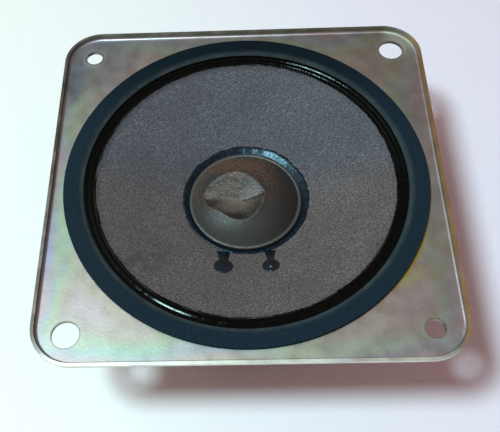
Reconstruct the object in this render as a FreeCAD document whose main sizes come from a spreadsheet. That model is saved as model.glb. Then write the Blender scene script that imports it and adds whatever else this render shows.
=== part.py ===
"""Square-frame car loudspeaker, lying on its back with the cone facing up.

Millimetres, +Z along the cone's axis towards the listener. The origin is on the axis, at the
rear face of the magnet assembly. Terminals are on the -Y side.
"""
import FreeCAD, Part

import math
import os
import re

import Sketcher

Vector = FreeCAD.Vector
Rotation = FreeCAD.Rotation
Placement = FreeCAD.Placement

DIMENSIONS = {
    # pressed steel frame
    "frame_side": 100.0,
    "corner_radius": 10.0,
    "sheet_gauge": 0.8,
    "lip_rise": 1.4,
    "bend_radius": 0.7,
    "hole_pitch": 84.0,
    "screw_hole": 4.5,
    "stud_hole": 6.5,
    "flange_back": 36.0,
    "mouth_radius": 41.9,
    "wall_angle": 36.8,
    "ledge_level": 22.4,
    "ledge_radius": 31.2,
    "step_radius": 25.0,
    "step_height": 3.6,
    "seat_bore": 19.0,
    "wall_bend": 2.0,
    "window_inner": 32.4,
    "window_outer": 40.6,
    "window_half_angle": 32.0,
    "window_corner": 2.0,
    "tongue_width": 17.0,
    "tongue_reach": 37.0,
    "tongue_root": 28.0,
    "notch_width": 5.2,
    "notch_root": 32.6,
    # front ring and moving parts
    "gasket_outer": 46.4,
    "gasket_inner": 41.35,
    "gasket_shoulder": 43.2,
    "gasket_gauge": 0.7,
    "gasket_foot": 42.8,
    "gasket_lip_high": 0.05,
    "gasket_lip_low": 0.3,
    "rim_outer": 46.0,
    "rim_inner": 42.9,
    "rim_gauge": 0.25,
    "land_width": 0.6,
    "roll_outer": 41.4,
    "roll_pitch": 0.675,
    "roll_rise": 0.22,
    "roll_sink": 0.4,
    "cone_radius": 38.4,
    "cone_level": 36.25,
    "cone_angle": 25.4,
    "cone_gauge": 0.4,
    "neck_radius": 12.9,
    "cap_radius": 15.0,
    "cap_brim": 0.8,
    "cap_level": 25.6,
    "cap_rise": 5.0,
    "cap_gauge": 0.4,
    "bead_radius": 17.0,
    "bead_slope": 0.4,
    "bead_shoulder": 0.8,
    "bead_crown": 1.4,
    "bead_height": 0.9,
    "bead_inner_height": 0.55,
    "bead_undercut": 0.1,
    "eyelet_circle": 21.8,
    "eyelet_spread": 15.9,
    "eyelet_bore": 1.0,
    "eyelet_shank": 1.6,
    "eyelet_flange": 2.8,
    "eyelet_lift": 0.06,
    "eyelet_gauge": 0.22,
    "eyelet_tail": 0.5,
    "eyelet_roll": 2.4,
    "eyelet_roll_height": 0.4,
    "dab_radius": 2.45,
    "dab_reach": 3.2,
    "dab_height": 0.6,
    "dab_leg": 1.8,
    # voice coil and centring disc
    "former_bore": 12.6,
    "former_gauge": 0.2,
    "former_foot": 12.8,
    "former_top": 24.6,
    "winding_gauge": 0.35,
    "winding_height": 5.6,
    "spider_outer": 30.6,
    "spider_gauge": 0.35,
    "spider_pitch": 1.3,
    "spider_rise": 0.7,
    "spider_start": 14.2,
    "spider_bond": 0.1,
    "fillet_reach": 0.9,
    "fillet_crown": 0.25,
    "fillet_shoulder": 0.75,
    "fillet_height": 0.85,
    # magnet assembly
    "plate_gauge": 4.0,
    "plate_radius": 28.0,
    "magnet_radius": 30.0,
    "magnet_bore": 16.0,
    "magnet_height": 10.0,
    "pole_radius": 12.25,
    "pole_recess": 0.3,
    "spigot_radius": 7.0,
    "gap_bore": 13.5,
    "edge_break": 0.5,
    "rivet_circle": 21.6,
    "rivet_shank": 3.0,
    "rivet_head": 5.2,
    "rivet_head_height": 1.0,
    "rivet_grip": 2.0,
    "rivet_crown": 0.62,
    # terminals
    "board_width": 30.0,
    "board_depth": 7.0,
    "board_gauge": 1.6,
    "board_inset": 32.6,
    "board_rivet_spread": 5.5,
    "rivet_line": 2.2,
    "lead_line": 5.2,
    "coil_lead_line": 5.6,
    "input_lead_offset": 1.4,
    "board_lead_hole": 1.0,
    "tag_lead_hole": 0.9,
    "tag_gauge": 0.8,
    "tag_spread": 11.0,
    "coil_tag_offset": 0.0,
    "tag_drop": 9.0,
    "tag_toe": 1.7,
    "coil_tag_setback": 0.4,
    "tag_rivet_bore": 2.0,
    "tag_rivet_wall": 0.4,
    "tag_rivet_head": 1.6,
    "tag_rivet_head_height": 0.5,
    "tag_rivet_foot": 1.56,
    "tag_rivet_foot_height": 0.4,
    "positive_width": 4.8,
    "negative_width": 2.8,
    "coil_tag_width": 3.4,
    "solder_radius": 1.3,
    # series capacitor
    "can_radius": 3.2,
    "can_length": 13.0,
    "can_offset": -6.6,
    "can_level": 9.0,
    "can_crimp": 1.2,
    "can_edge": 0.4,
    "groove_setback": 1.6,
    "groove_width": 1.4,
    "groove_depth": 0.5,
    "seal_radius": 1.9,
    "seal_height": 0.45,
    "glue_gap": 0.3,
    "glue_length": 9.0,
    "glue_depth": 4.0,
    "glue_height": 5.0,
    "lead_wire": 0.7,
    "tinsel_wire": 0.9,
    # gaps between neighbours, and how far a cutting tool overshoots
    "close_gap": 0.02,
    "film_gap": 0.03,
    "overshoot": 3.0,
}

TOLERANCE = 1e-3
TRIM_SHARE = 0.45
VOLUME_TOLERANCE = 0.01

doc = FreeCAD.newDocument("loudspeaker")
sheet = doc.addObject("Spreadsheet::Sheet", "Sizes")
for row, (alias, number) in enumerate(DIMENSIONS.items(), start=1):
    sheet.set(f"A{row}", alias)
    sheet.set(f"B{row}", str(number))
    sheet.setAlias(f"B{row}", alias)
doc.recompute()


def formula(text):
    """Prefix each sheet alias in a formula with the sheet's name."""
    def prefixed(match):
        word = match.group(0)
        return f"Sizes.{word}" if word in DIMENSIONS else word
    return re.sub(r"[a-z_]+", prefixed, str(text))


def size(text):
    """Work out a sheet formula as a number, in millimetres or degrees."""
    return float(sheet.evalExpression(formula(text)))


def bind(item, **formulas):
    """Bind an object's properties to sheet formulas."""
    for name, text in formulas.items():
        item.setExpression(name, formula(text))
    return item


def place(item, x="0", y="0", z="0"):
    """Bind an object's position to sheet formulas."""
    for axis, text in zip("xyz", (x, y, z)):
        item.setExpression(f"Placement.Base.{axis}", formula(text))
    return item


# Sketches -----------------------------------------------------------------------------------

def new_body(label):
    """Start a part-design body under the name that its file will have."""
    body = doc.addObject("PartDesign::Body", label)
    body.Label = label
    return body


def new_sketch(body, name, plane, level="0"):
    """Attach a sketch to one of the body's own origin planes, raised to a level."""
    sketch = body.newObject("Sketcher::SketchObject", name)
    origin_plane = next(item for item in body.Origin.OriginFeatures if item.Role == plane)
    sketch.AttachmentSupport = [(origin_plane, "")]
    sketch.MapMode = "FlatFace"
    sketch.setExpression("AttachmentOffset.Base.z", formula(level))
    return sketch


def pin_point(sketch, edge, end, u, v):
    """Tie one end of a sketch edge to a place given by two sheet formulas."""
    for kind, text, axis in (("DistanceX", u, -2), ("DistanceY", v, -1)):
        if abs(size(text)) < 1e-9:
            sketch.addConstraint(Sketcher.Constraint("PointOnObject", edge, end, axis))
            continue
        index = sketch.addConstraint(Sketcher.Constraint(kind, -1, 1, edge, end, size(text)))
        sketch.setExpression(f"Constraints[{index}]", formula(text))


def arc_between(start, end, radius):
    """An anticlockwise arc; a positive radius bulges to the left of the way from start to end."""
    chord = end - start
    half = chord.Length / 2
    rise = abs(radius) - math.sqrt(max(radius * radius - half * half, 0.0))
    left = Vector(-chord.y, chord.x, 0).normalize()
    middle = start + chord * 0.5 + left * math.copysign(rise, radius)
    return Part.Arc(end, middle, start) if radius > 0 else Part.Arc(start, middle, end)


def draw_outline(sketch, corners):
    """Draw a closed outline. A corner is (u, v), or (u, v, radius) if an arc leaves it."""
    points = [Vector(size(corner[0]), size(corner[1]), 0) for corner in corners]
    count = len(corners)
    for index, corner in enumerate(corners):
        start, end = points[index], points[(index + 1) % count]
        if len(corner) == 2:
            sketch.addGeometry(Part.LineSegment(start, end))
            continue
        sketch.addGeometry(arc_between(start, end, size(corner[2])))
    for index, corner in enumerate(corners):
        first, last = edge_ends(sketch, index, points[index])
        following = (index + 1) % count
        next_first = edge_ends(sketch, following, points[following])[0]
        sketch.addConstraint(Sketcher.Constraint("Coincident", index, last, following, next_first))
        pin_point(sketch, index, first, corner[0], corner[1])
        if len(corner) == 3:
            radius = sketch.addConstraint(Sketcher.Constraint("Radius", index, abs(size(corner[2]))))
            sketch.setExpression(f"Constraints[{radius}]", formula(f"abs({corner[2]})"))


def edge_ends(sketch, index, start):
    """Say which end of a sketch edge lies at start: (1, 2) if its first, (2, 1) if its last."""
    edge = sketch.Geometry[index]
    return (1, 2) if edge.StartPoint.distanceToPoint(start) < 1e-6 else (2, 1)


def draw_circle(sketch, u, v, diameter):
    """Draw a circle whose centre and diameter are sheet formulas."""
    centre = Vector(size(u), size(v), 0)
    index = sketch.addGeometry(Part.Circle(centre, Vector(0, 0, 1), size(diameter) / 2))
    pin_point(sketch, index, 3, u, v)
    constraint = sketch.addConstraint(Sketcher.Constraint("Diameter", index, size(diameter)))
    sketch.setExpression(f"Constraints[{constraint}]", formula(diameter))


def rectangle(low_u, low_v, high_u, high_v):
    """The four corners of a rectangle, from its low corner."""
    return [(low_u, low_v), (high_u, low_v), (high_u, high_v), (low_u, high_v)]


def centred_square(side):
    """The four corners of a square round the origin."""
    return rectangle(f"-({side}) / 2", f"-({side}) / 2", f"({side}) / 2", f"({side}) / 2")


# Features -----------------------------------------------------------------------------------

def turn(body, corners, name="section"):
    """Revolve an outline of (radius, level) corners about the body's Z axis."""
    sketch = new_sketch(body, f"{body.Name}_{name}", "XZ_Plane")
    draw_outline(sketch, corners)
    revolution = body.newObject("PartDesign::Revolution", f"{body.Name}_{name}_turned")
    revolution.Profile = sketch
    revolution.ReferenceAxis = (sketch, ["V_Axis"])
    revolution.Angle = 360
    doc.recompute()
    return revolution


def turned_body(label, corners):
    """Make a whole sub-part by revolving one outline."""
    body = new_body(label)
    turn(body, corners)
    return body


def pad(body, sketch, height):
    """Thicken a sketch upwards by a height."""
    feature = body.newObject("PartDesign::Pad", f"{sketch.Name}_pad")
    feature.Profile = sketch
    bind(feature, Length=height)
    doc.recompute()
    return feature


def pocket(body, sketch, depth):
    """Cut a sketch down into the body by a depth, and make sure that it cuts."""
    before = body.Shape.Volume
    feature = body.newObject("PartDesign::Pocket", f"{sketch.Name}_pocket")
    feature.Profile = sketch
    bind(feature, Length=depth)
    doc.recompute()
    if body.Shape.Volume > before - TOLERANCE:
        raise RuntimeError(f"{feature.Name} cuts nothing")
    return feature


def repeat_round(body, feature, count):
    """Repeat a feature round the body's Z axis."""
    pattern = body.newObject("PartDesign::PolarPattern", f"{feature.Name}_ring")
    pattern.Originals = [feature]
    axis = next(item for item in body.Origin.OriginFeatures if item.Role == "Z_Axis")
    pattern.Axis = (axis, [""])
    pattern.Angle = 360
    pattern.Occurrences = count
    body.Tip = pattern
    doc.recompute()
    return pattern


def edges_where(shape, test):
    """Names of the edges of a shape that pass a test."""
    return [f"Edge{index}" for index, edge in enumerate(shape.Edges, start=1) if test(edge)]


def blend_edges(body, name, radius, test, kind="Fillet"):
    """Round, or chamfer, the edges of the body that pass a test."""
    names = edges_where(body.Tip.Shape, test)
    if not names:
        raise RuntimeError(f"{name} finds no edge")
    base = body.Tip
    feature = body.newObject(f"PartDesign::{kind}", name)
    feature.Base = (base, names)
    bind(feature, **{"Radius" if kind == "Fillet" else "Size": radius})
    doc.recompute()
    return feature


def ring_at(*places):
    """A test for circles round the Z axis at (radius, level) places."""
    targets = [(size(radius), size(level)) for radius, level in places]

    def test(edge):
        curve = edge.Curve
        if not isinstance(curve, Part.Circle) or math.hypot(curve.Center.x, curve.Center.y) > TOLERANCE:
            return False
        found = (curve.Radius, curve.Center.z)
        return any(math.dist(found, target) < TOLERANCE for target in targets)
    return test


def upright_edge(x, y):
    """A test for straight edges along Z that pass through +-x, +-y."""
    def test(edge):
        ends = [vertex.Point for vertex in edge.Vertexes]
        if len(ends) != 2 or math.dist(ends[0][:2], ends[1][:2]) > TOLERANCE:
            return False
        return math.dist((abs(ends[0].x), abs(ends[0].y)), (x, y)) < TOLERANCE
    return test


def rim_edge(level):
    """A test for edges of the flange's square outline that lie at a level."""
    inside = size("frame_side / 2 - corner_radius / 2")

    def test(edge):
        box = edge.BoundBox
        if abs(box.ZMin - level) > TOLERANCE or abs(box.ZMax - level) > TOLERANCE:
            return False
        middle = edge.valueAt((edge.FirstParameter + edge.LastParameter) / 2)
        return max(abs(middle.x), abs(middle.y)) > inside
    return test


# Frame --------------------------------------------------------------------------------------

FRONT = "(flange_back + sheet_gauge)"
SEAT_TOP = "(ledge_level - step_height)"
SKIRT_FOOT = "(ledge_level + (mouth_radius - ledge_radius) * tan(wall_angle))"


def make_basket():
    """Square flange with an upturned lip, over a drawn basket with four windows."""
    body = new_body("basket_frame")
    draw_basket_wall(body)
    draw_flange(body)
    punch_windows(body)
    add_tongue(body)
    punch_holes(body)
    return body


def draw_basket_wall(body):
    """Revolve the drawn sheet from the rear seat, over the ledge, to the mouth, and bend it."""
    inside = [
        ("seat_bore", SEAT_TOP),
        ("step_radius", SEAT_TOP),
        ("step_radius", "ledge_level"),
        ("ledge_radius", "ledge_level"),
        ("mouth_radius", SKIRT_FOOT),
        ("mouth_radius", FRONT),
    ]
    outside = [
        ("mouth_radius + sheet_gauge", FRONT),
        ("mouth_radius + sheet_gauge", f"{SKIRT_FOOT} - sheet_gauge * tan(45 - wall_angle / 2)"),
        ("ledge_radius + sheet_gauge * tan(wall_angle / 2)", "ledge_level - sheet_gauge"),
        ("step_radius + sheet_gauge", "ledge_level - sheet_gauge"),
        ("step_radius + sheet_gauge", f"{SEAT_TOP} - sheet_gauge"),
        ("seat_bore", f"{SEAT_TOP} - sheet_gauge"),
    ]
    turn(body, inside + outside, "wall")
    blend_edges(body, "step_inner_bends", "bend_radius", ring_at(inside[1], outside[3]))
    blend_edges(body, "step_outer_bends", "bend_radius + sheet_gauge", ring_at(inside[2], outside[4]))
    blend_edges(body, "wall_inner_bends", "wall_bend", ring_at(inside[3], inside[4]))
    blend_edges(body, "wall_outer_bends", "wall_bend + sheet_gauge", ring_at(outside[1], outside[2]))


def draw_flange(body):
    """Add the square flange, sink its face inside the lip, and round its bends."""
    blank = new_sketch(body, "flange", "XY_Plane", "flange_back")
    draw_outline(blank, centred_square("frame_side"))
    draw_circle(blank, "0", "0", "2 * mouth_radius")
    pad(body, blank, "sheet_gauge + lip_rise")
    tray = new_sketch(body, "tray", "XY_Plane", f"{FRONT} + lip_rise")
    draw_outline(tray, centred_square("frame_side - 2 * sheet_gauge"))
    pocket(body, tray, "lip_rise")
    inner = size("frame_side / 2 - sheet_gauge")
    blend_edges(body, "tray_corners", "corner_radius - sheet_gauge", upright_edge(inner, inner))
    half = size("frame_side / 2")
    blend_edges(body, "flange_corners", "corner_radius", upright_edge(half, half))
    blend_edges(body, "lip_inner_bend", "bend_radius", rim_edge(size(FRONT)))
    blend_edges(body, "lip_outer_bend", "bend_radius + sheet_gauge", rim_edge(size("flange_back")))
    blend_edges(body, "mouth_bend", "bend_radius + sheet_gauge", ring_at(("mouth_radius", FRONT)))
    blend_edges(body, "mouth_inner_bend", "bend_radius",
                ring_at(("mouth_radius + sheet_gauge", "flange_back")))


def polar(radius, angle):
    """A corner given by its radius and its angle from the first axis."""
    return f"({radius}) * cos({angle})", f"({radius}) * sin({angle})"


def window_outline():
    """A sector between two radii with rounded corners, from its -angle side round to itself."""
    half, corner = "window_half_angle * 1deg", "window_corner"
    inner, outer = f"(window_inner + {corner})", f"(window_outer - {corner})"
    inner_end, outer_end = (f"sqrt({reach} ^ 2 - {corner} ^ 2)" for reach in (inner, outer))
    inner_lean, outer_lean = (f"({half} - asin({corner} / {reach}))" for reach in (inner, outer))
    return [
        polar(inner_end, f"-{half}"),
        (*polar(outer_end, f"-{half}"), f"-{corner}"),
        (*polar("window_outer", f"-{outer_lean}"), "-window_outer"),
        (*polar("window_outer", outer_lean), f"-{corner}"),
        polar(outer_end, half),
        (*polar(inner_end, half), f"-{corner}"),
        (*polar("window_inner", inner_lean), "window_inner"),
        (*polar("window_inner", f"-{inner_lean}"), f"-{corner}"),
    ]


def punch_windows(body):
    """Punch a window through the basket wall towards each side of the frame."""
    window = new_sketch(body, "window", "XY_Plane", SKIRT_FOOT)
    draw_outline(window, window_outline())
    repeat_round(body, pocket(body, window, f"{SKIRT_FOOT} - ledge_level + sheet_gauge + close_gap"), 4)


def add_tongue(body):
    """Add the notched tongue in the -Y window that carries the tag board."""
    tongue = new_sketch(body, "tongue", "XY_Plane", "ledge_level - sheet_gauge")
    draw_outline(tongue, rectangle("-tongue_width / 2", "-tongue_reach",
                                   "tongue_width / 2", "-tongue_root"))
    pad(body, tongue, "sheet_gauge")
    reach, half = size("tongue_reach"), size("tongue_width / 2")
    blend_edges(body, "tongue_corners", "window_corner", upright_edge(half, reach))
    notch = new_sketch(body, "notch", "XY_Plane", "ledge_level")
    draw_outline(notch, rectangle("-notch_width / 2", "-tongue_reach - overshoot",
                                  "notch_width / 2", "-notch_root"))
    pocket(body, notch, "sheet_gauge")


def punch_holes(body):
    """Punch the flange's fixing holes, the seat's rivet holes and the tongue's rivet holes."""
    corner = "hole_pitch / 2"
    fixings = new_sketch(body, "fixings", "XY_Plane", FRONT)
    draw_circle(fixings, f"-{corner}", corner, "screw_hole")
    draw_circle(fixings, corner, f"-{corner}", "screw_hole")
    draw_circle(fixings, corner, corner, "stud_hole")
    draw_circle(fixings, f"-{corner}", f"-{corner}", "stud_hole")
    pocket(body, fixings, "sheet_gauge")
    seat = new_sketch(body, "seat_rivet", "XY_Plane", SEAT_TOP)
    draw_circle(seat, "rivet_circle * cos(45)", "rivet_circle * sin(45)", "rivet_shank")
    cut = pocket(body, seat, "sheet_gauge")
    repeat_round(body, cut, 4)
    board = new_sketch(body, "board_rivet", "XY_Plane", "ledge_level")
    for side in ("-", ""):
        draw_circle(board, f"{side}board_rivet_spread", BOARD_LINE, "tag_rivet_bore")
    pocket(body, board, "sheet_gauge")


# Front ring and moving parts -----------------------------------------------------------------

def rolls(count, start, pitch, rise, level, gauge, slope_side):
    """Corners of one face of a run of equal rolls, going outwards from a radius.

    The centre line crosses the level every pitch. slope_side is 1 for the front face and -1
    for the back face, which lie half a gauge each side of it.
    """
    radius = f"({pitch} * {pitch} / 4 + {rise} * {rise}) / (2 * {rise})"
    lean = f"asin({pitch} / 2 / ({radius}))"
    corners = []
    for index in range(count + 1):
        upward = 1 if index % 2 == 0 else -1
        side = slope_side * upward
        u = f"{start} + {index} * {pitch} - {side} * {gauge} / 2 * sin({lean})"
        v = f"{level} + {slope_side} * {gauge} / 2 * cos({lean})"
        bulge = f"{upward} * ({radius} + {side} * {gauge} / 2)"
        corners.append((u, v, bulge) if index < count else (u, v))
    return corners


def reversed_face(corners):
    """The same face drawn the other way, for the return side of an outline."""
    arcs = [corner[2] if len(corner) == 3 else None for corner in corners]
    turned = []
    for index in range(len(corners) - 1, -1, -1):
        u, v = corners[index][:2]
        arc = arcs[index - 1] if index > 0 else None
        turned.append((u, v) if arc is None else (u, v, f"-({arc})"))
    return turned


def cone_front(radius):
    """Level of the cone's front face at a radius."""
    return f"(cone_level - (cone_radius - {radius}) * tan(cone_angle))"


def make_gasket():
    """Felt ring on the surround's rim, with a bevelled inner shoulder."""
    rim_top = f"{FRONT} + rim_gauge"
    return turned_body("front_gasket", [
        ("gasket_foot", rim_top),
        ("gasket_outer", rim_top),
        ("gasket_outer", f"{rim_top} + gasket_gauge"),
        ("gasket_shoulder", f"{rim_top} + gasket_gauge"),
        ("gasket_inner", f"{rim_top} - gasket_lip_high"),
        ("gasket_inner", f"{rim_top} - gasket_lip_low"),
    ])


def make_surround():
    """Doped edge: a flat rim on the flange, small rolls, and a land on the cone's edge."""
    start = "(roll_outer - 4 * roll_pitch)"
    level = f"({FRONT} - roll_sink)"
    shape = (4, start, "roll_pitch", "(-roll_rise)", level, "rim_gauge")
    front, back = rolls(*shape, 1), rolls(*shape, -1)
    inner, outer = "(cone_radius - land_width)", "(cone_radius + film_gap)"
    return turned_body("surround", [
        (inner, f"{cone_front(inner)} + rim_gauge + film_gap"),
        (outer, f"{cone_front(outer)} + rim_gauge + film_gap"),
        *front,
        ("rim_inner - film_gap", f"{FRONT} + rim_gauge - close_gap"),
        ("rim_outer", f"{FRONT} + rim_gauge"),
        ("rim_outer", FRONT),
        ("rim_inner", FRONT),
        *reversed_face(back),
        (outer, f"{cone_front(outer)} + film_gap"),
        (inner, f"{cone_front(inner)} + film_gap"),
    ])


def make_cone():
    """Straight paper cone with two holes for the lead eyelets."""
    normal = "cone_gauge / cos(cone_angle)"
    blank = turned_body("cone_blank", [
        ("neck_radius", f"{cone_front('neck_radius')} - {normal}"),
        ("cone_radius", f"cone_level - {normal}"),
        ("cone_radius", "cone_level"),
        ("neck_radius", cone_front("neck_radius")),
    ])
    drills = [eyelet_drill(f"cone_drill_{side}", side, "eyelet_shank") for side in EYELET_SIDES]
    return cut("cone", blank, fuse("cone_drills", drills))


def make_cap():
    """Paper dome with a flat brim."""
    dome = "(cap_radius - cap_brim)"
    radius = f"(({dome}) * ({dome}) + cap_rise * cap_rise) / (2 * cap_rise)"
    top = "(cap_level + cap_gauge)"
    return turned_body("dust_cap", [
        ("0", f"{top} + cap_rise", radius),
        (dome, top),
        ("cap_radius", top),
        ("cap_radius", "cap_level"),
        (f"{dome}", "cap_level", f"-({radius} - cap_gauge)"),
        ("0", dome_bottom(dome, radius)),
    ])


def dome_bottom(dome, radius):
    """Level of the middle of the dome's inner face, whose edge is at the cap's level."""
    inner = f"({radius} - cap_gauge)"
    return f"cap_level + {inner} - sqrt({inner} * {inner} - ({dome}) * ({dome}))"


def make_cap_glue():
    """Bead of cement that fills the corner between the cap's brim and the cone."""
    brim = "(cap_radius - cap_brim + bead_undercut)"
    return turned_body("cap_glue", [
        (brim, f"{cone_front(brim)} + film_gap"),
        ("bead_radius", f"{cone_front('bead_radius')} + film_gap"),
        ("bead_radius - bead_slope", "cap_level + bead_shoulder"),
        ("bead_radius - bead_crown", "cap_level + bead_height"),
        ("cap_radius + film_gap", "cap_level + bead_inner_height"),
        ("cap_radius + film_gap", "cap_level - film_gap"),
        (brim, "cap_level - film_gap"),
    ])


EYELET_SIDES = ("left", "right")


def eyelet_placement(side, lift):
    """Where an eyelet sits: on its circle, square to the cone's face, lifted off it."""
    turn_sign = -1 if side == "left" else 1
    azimuth = -90 + turn_sign * size("eyelet_spread")
    radius = size("eyelet_circle")
    angle = math.radians(azimuth)
    spot = Vector(radius * math.cos(angle), radius * math.sin(angle), size(cone_front("eyelet_circle")))
    tilt = Rotation(Vector(0, 0, 1), azimuth).multiply(Rotation(Vector(0, 1, 0), -size("cone_angle")))
    return Placement(spot + tilt.multVec(Vector(0, 0, lift)), tilt)


def eyelet_cylinder(name, side, diameter, lift, height):
    """A cylinder square to the cone's face at one eyelet."""
    cylinder = doc.addObject("Part::Cylinder", name)
    cylinder.Placement = eyelet_placement(side, size(lift))
    return bind(cylinder, Radius=f"({diameter}) / 2", Height=height)


def eyelet_drill(name, side, diameter):
    """A cylinder that cuts right through the cone at one eyelet."""
    return eyelet_cylinder(name, side, diameter, "-overshoot", "2 * overshoot")


def fuse(name, parts):
    """Join parts into one object, which stays several solids where they don't touch."""
    joined = doc.addObject("Part::MultiFuse", name)
    joined.Shapes = parts
    return joined


def cut(name, base, tool):
    """Cut one object with another."""
    result = doc.addObject("Part::Cut", name)
    result.Base = base
    result.Tool = tool
    return result


def make_eyelets():
    """Two brass eyelets, flanged in front of the cone and rolled behind it."""
    solid, bores = [], []
    for side in EYELET_SIDES:
        solid.append(eyelet_cylinder(f"shank_{side}", side, "eyelet_shank - 2 * close_gap",
                                     "-cone_gauge - eyelet_tail",
                                     "cone_gauge + eyelet_tail + eyelet_lift + eyelet_gauge / 2"))
        solid.append(eyelet_cylinder(f"flange_{side}", side, "eyelet_flange",
                                     "eyelet_lift", "eyelet_gauge"))
        solid.append(eyelet_cylinder(f"rolled_{side}", side, "eyelet_roll",
                                     "-cone_gauge - eyelet_lift - eyelet_roll_height",
                                     "eyelet_roll_height"))
        bores.append(eyelet_drill(f"bore_{side}", side, "eyelet_bore"))
    return cut("lead_eyelets", fuse("eyelet_blanks", solid), fuse("eyelet_bores", bores))


def make_dabs():
    """Cement dabs over the eyelets, each with a leg that runs to the bead round the cap."""
    inner, outer = "(bead_radius + film_gap)", "(eyelet_circle + dab_reach)"
    layer = turned_body("dab_layer", [
        (inner, f"{cone_front(inner)} + film_gap"),
        (outer, f"{cone_front(outer)} + film_gap"),
        (outer, f"{cone_front(outer)} + dab_height"),
        (inner, f"{cone_front(inner)} + dab_height"),
    ])
    shapes, reliefs = [], []
    half_leg = size("dab_leg / 2")
    for side in EYELET_SIDES:
        spot = eyelet_placement(side, 0).Base
        dab = doc.addObject("Part::Cylinder", f"dab_{side}")
        dab.Placement = Placement(Vector(spot.x, spot.y, 0), Rotation())
        shapes.append(bind(dab, Radius="dab_radius", Height="flange_back"))
        leg = doc.addObject("Part::Box", f"leg_{side}")
        leg.Placement = Placement(Vector(spot.x - half_leg, spot.y, 0), Rotation())
        shapes.append(bind(leg, Length="dab_leg", Width="eyelet_circle - bead_radius + dab_radius",
                           Height="flange_back"))
        reliefs.append(eyelet_cylinder(f"dab_relief_{side}", side, "eyelet_flange + 2 * close_gap",
                                       "-overshoot",
                                       "overshoot + eyelet_lift + eyelet_gauge + close_gap"))
        reliefs.append(eyelet_drill(f"dab_bore_{side}", side, "eyelet_bore"))
    pads = doc.addObject("Part::Common", "dab_pads")
    pads.Base = layer
    pads.Tool = fuse("dab_outlines", shapes)
    return cut("lead_dabs", pads, fuse("dab_reliefs", reliefs))


def tube_outline(inner, outer, low, high):
    """Outline of a plain ring, from its two radii and two levels."""
    return rectangle(inner, low, outer, high)


def make_coil():
    """Voice-coil former with its winding."""
    former_outer = "(former_bore + former_gauge)"
    middle = "(1.5 * plate_gauge + magnet_height)"
    former = turned_body("coil_former",
                         tube_outline("former_bore", former_outer, "former_foot", "former_top"))
    winding = turned_body("coil_winding", tube_outline(
        former_outer, f"{former_outer} + winding_gauge",
        f"{middle} - winding_height / 2", f"{middle} + winding_height / 2"))
    return former, winding


SPIDER_ROLLS = 8
SPIDER_LEVEL = "(ledge_level + spider_gauge / 2 + close_gap)"


def make_spider():
    """Corrugated cloth disc from the former to the frame's ledge."""
    shape = (SPIDER_ROLLS, "spider_start", "spider_pitch", "spider_rise", SPIDER_LEVEL, "spider_gauge")
    front, back = rolls(*shape, 1), rolls(*shape, -1)
    half = "spider_gauge / 2"
    inner = "former_bore + former_gauge + spider_bond"
    return turned_body("spider", [
        (inner, f"{SPIDER_LEVEL} - {half}"),
        (inner, f"{SPIDER_LEVEL} + {half}"),
        *front,
        ("spider_outer", f"{SPIDER_LEVEL} + {half}"),
        ("spider_outer", f"{SPIDER_LEVEL} - {half}"),
        *reversed_face(back),
    ])


def make_neck_glue():
    """Cement fillet that ties the spider and the cone's neck to the former."""
    inner = "(former_bore + former_gauge + close_gap)"
    low = f"{SPIDER_LEVEL} + spider_gauge / 2 + film_gap"
    return turned_body("neck_glue", [
        (inner, low),
        ("neck_radius + fillet_reach", low),
        ("neck_radius + fillet_crown", f"{low} + fillet_shoulder"),
        (inner, f"{low} + fillet_height"),
    ])


# Magnet assembly ------------------------------------------------------------------------------

def break_edges(body, *places):
    """Chamfer the sharp rings of a turned part."""
    blend_edges(body, f"{body.Name}_edges", "edge_break", ring_at(*places), "Chamfer")


def make_magnet_assembly():
    """Back plate with a staked pole piece, ring magnet and top plate."""
    back = turned_body("back_plate", tube_outline("spigot_radius", "plate_radius", "0", "plate_gauge"))
    break_edges(back, ("plate_radius", "0"), ("plate_radius", "plate_gauge"), ("spigot_radius", "0"))
    top_level = "(plate_gauge + magnet_height)"
    pole = turned_body("pole_piece", [
        ("0", "pole_recess"),
        ("spigot_radius - close_gap", "pole_recess"),
        ("spigot_radius - close_gap", "plate_gauge"),
        ("pole_radius", "plate_gauge"),
        ("pole_radius", f"{top_level} + plate_gauge"),
        ("0", f"{top_level} + plate_gauge"),
    ])
    break_edges(pole, ("pole_radius", f"{top_level} + plate_gauge"))
    magnet = turned_body("magnet", tube_outline("magnet_bore", "magnet_radius", "plate_gauge", top_level))
    break_edges(magnet, ("magnet_radius", "plate_gauge"), ("magnet_radius", top_level))
    plate_top = f"{top_level} + plate_gauge"
    top = turned_body("top_plate", tube_outline("gap_bore", "plate_radius", top_level, plate_top))
    break_edges(top, ("plate_radius", top_level), ("plate_radius", plate_top))
    drill = new_sketch(top, "top_plate_rivet", "XY_Plane", plate_top)
    draw_circle(drill, "rivet_circle * cos(45)", "rivet_circle * sin(45)", "rivet_shank")
    repeat_round(top, pocket(top, drill, "rivet_grip"), 4)
    return back, pole, magnet, top


def cylinder_at(name, x, y, z, radius, height):
    """An upright cylinder whose place and size are sheet formulas."""
    cylinder = doc.addObject("Part::Cylinder", name)
    bind(cylinder, Radius=radius, Height=height)
    return place(cylinder, x, y, z)


def dome_head(name, x, y, z, radius, height):
    """A low frustum that stands for a peened rivet head."""
    head = doc.addObject("Part::Cone", name)
    bind(head, Radius1=radius, Radius2=f"{radius} * rivet_crown", Height=height)
    return place(head, x, y, z)


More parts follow.
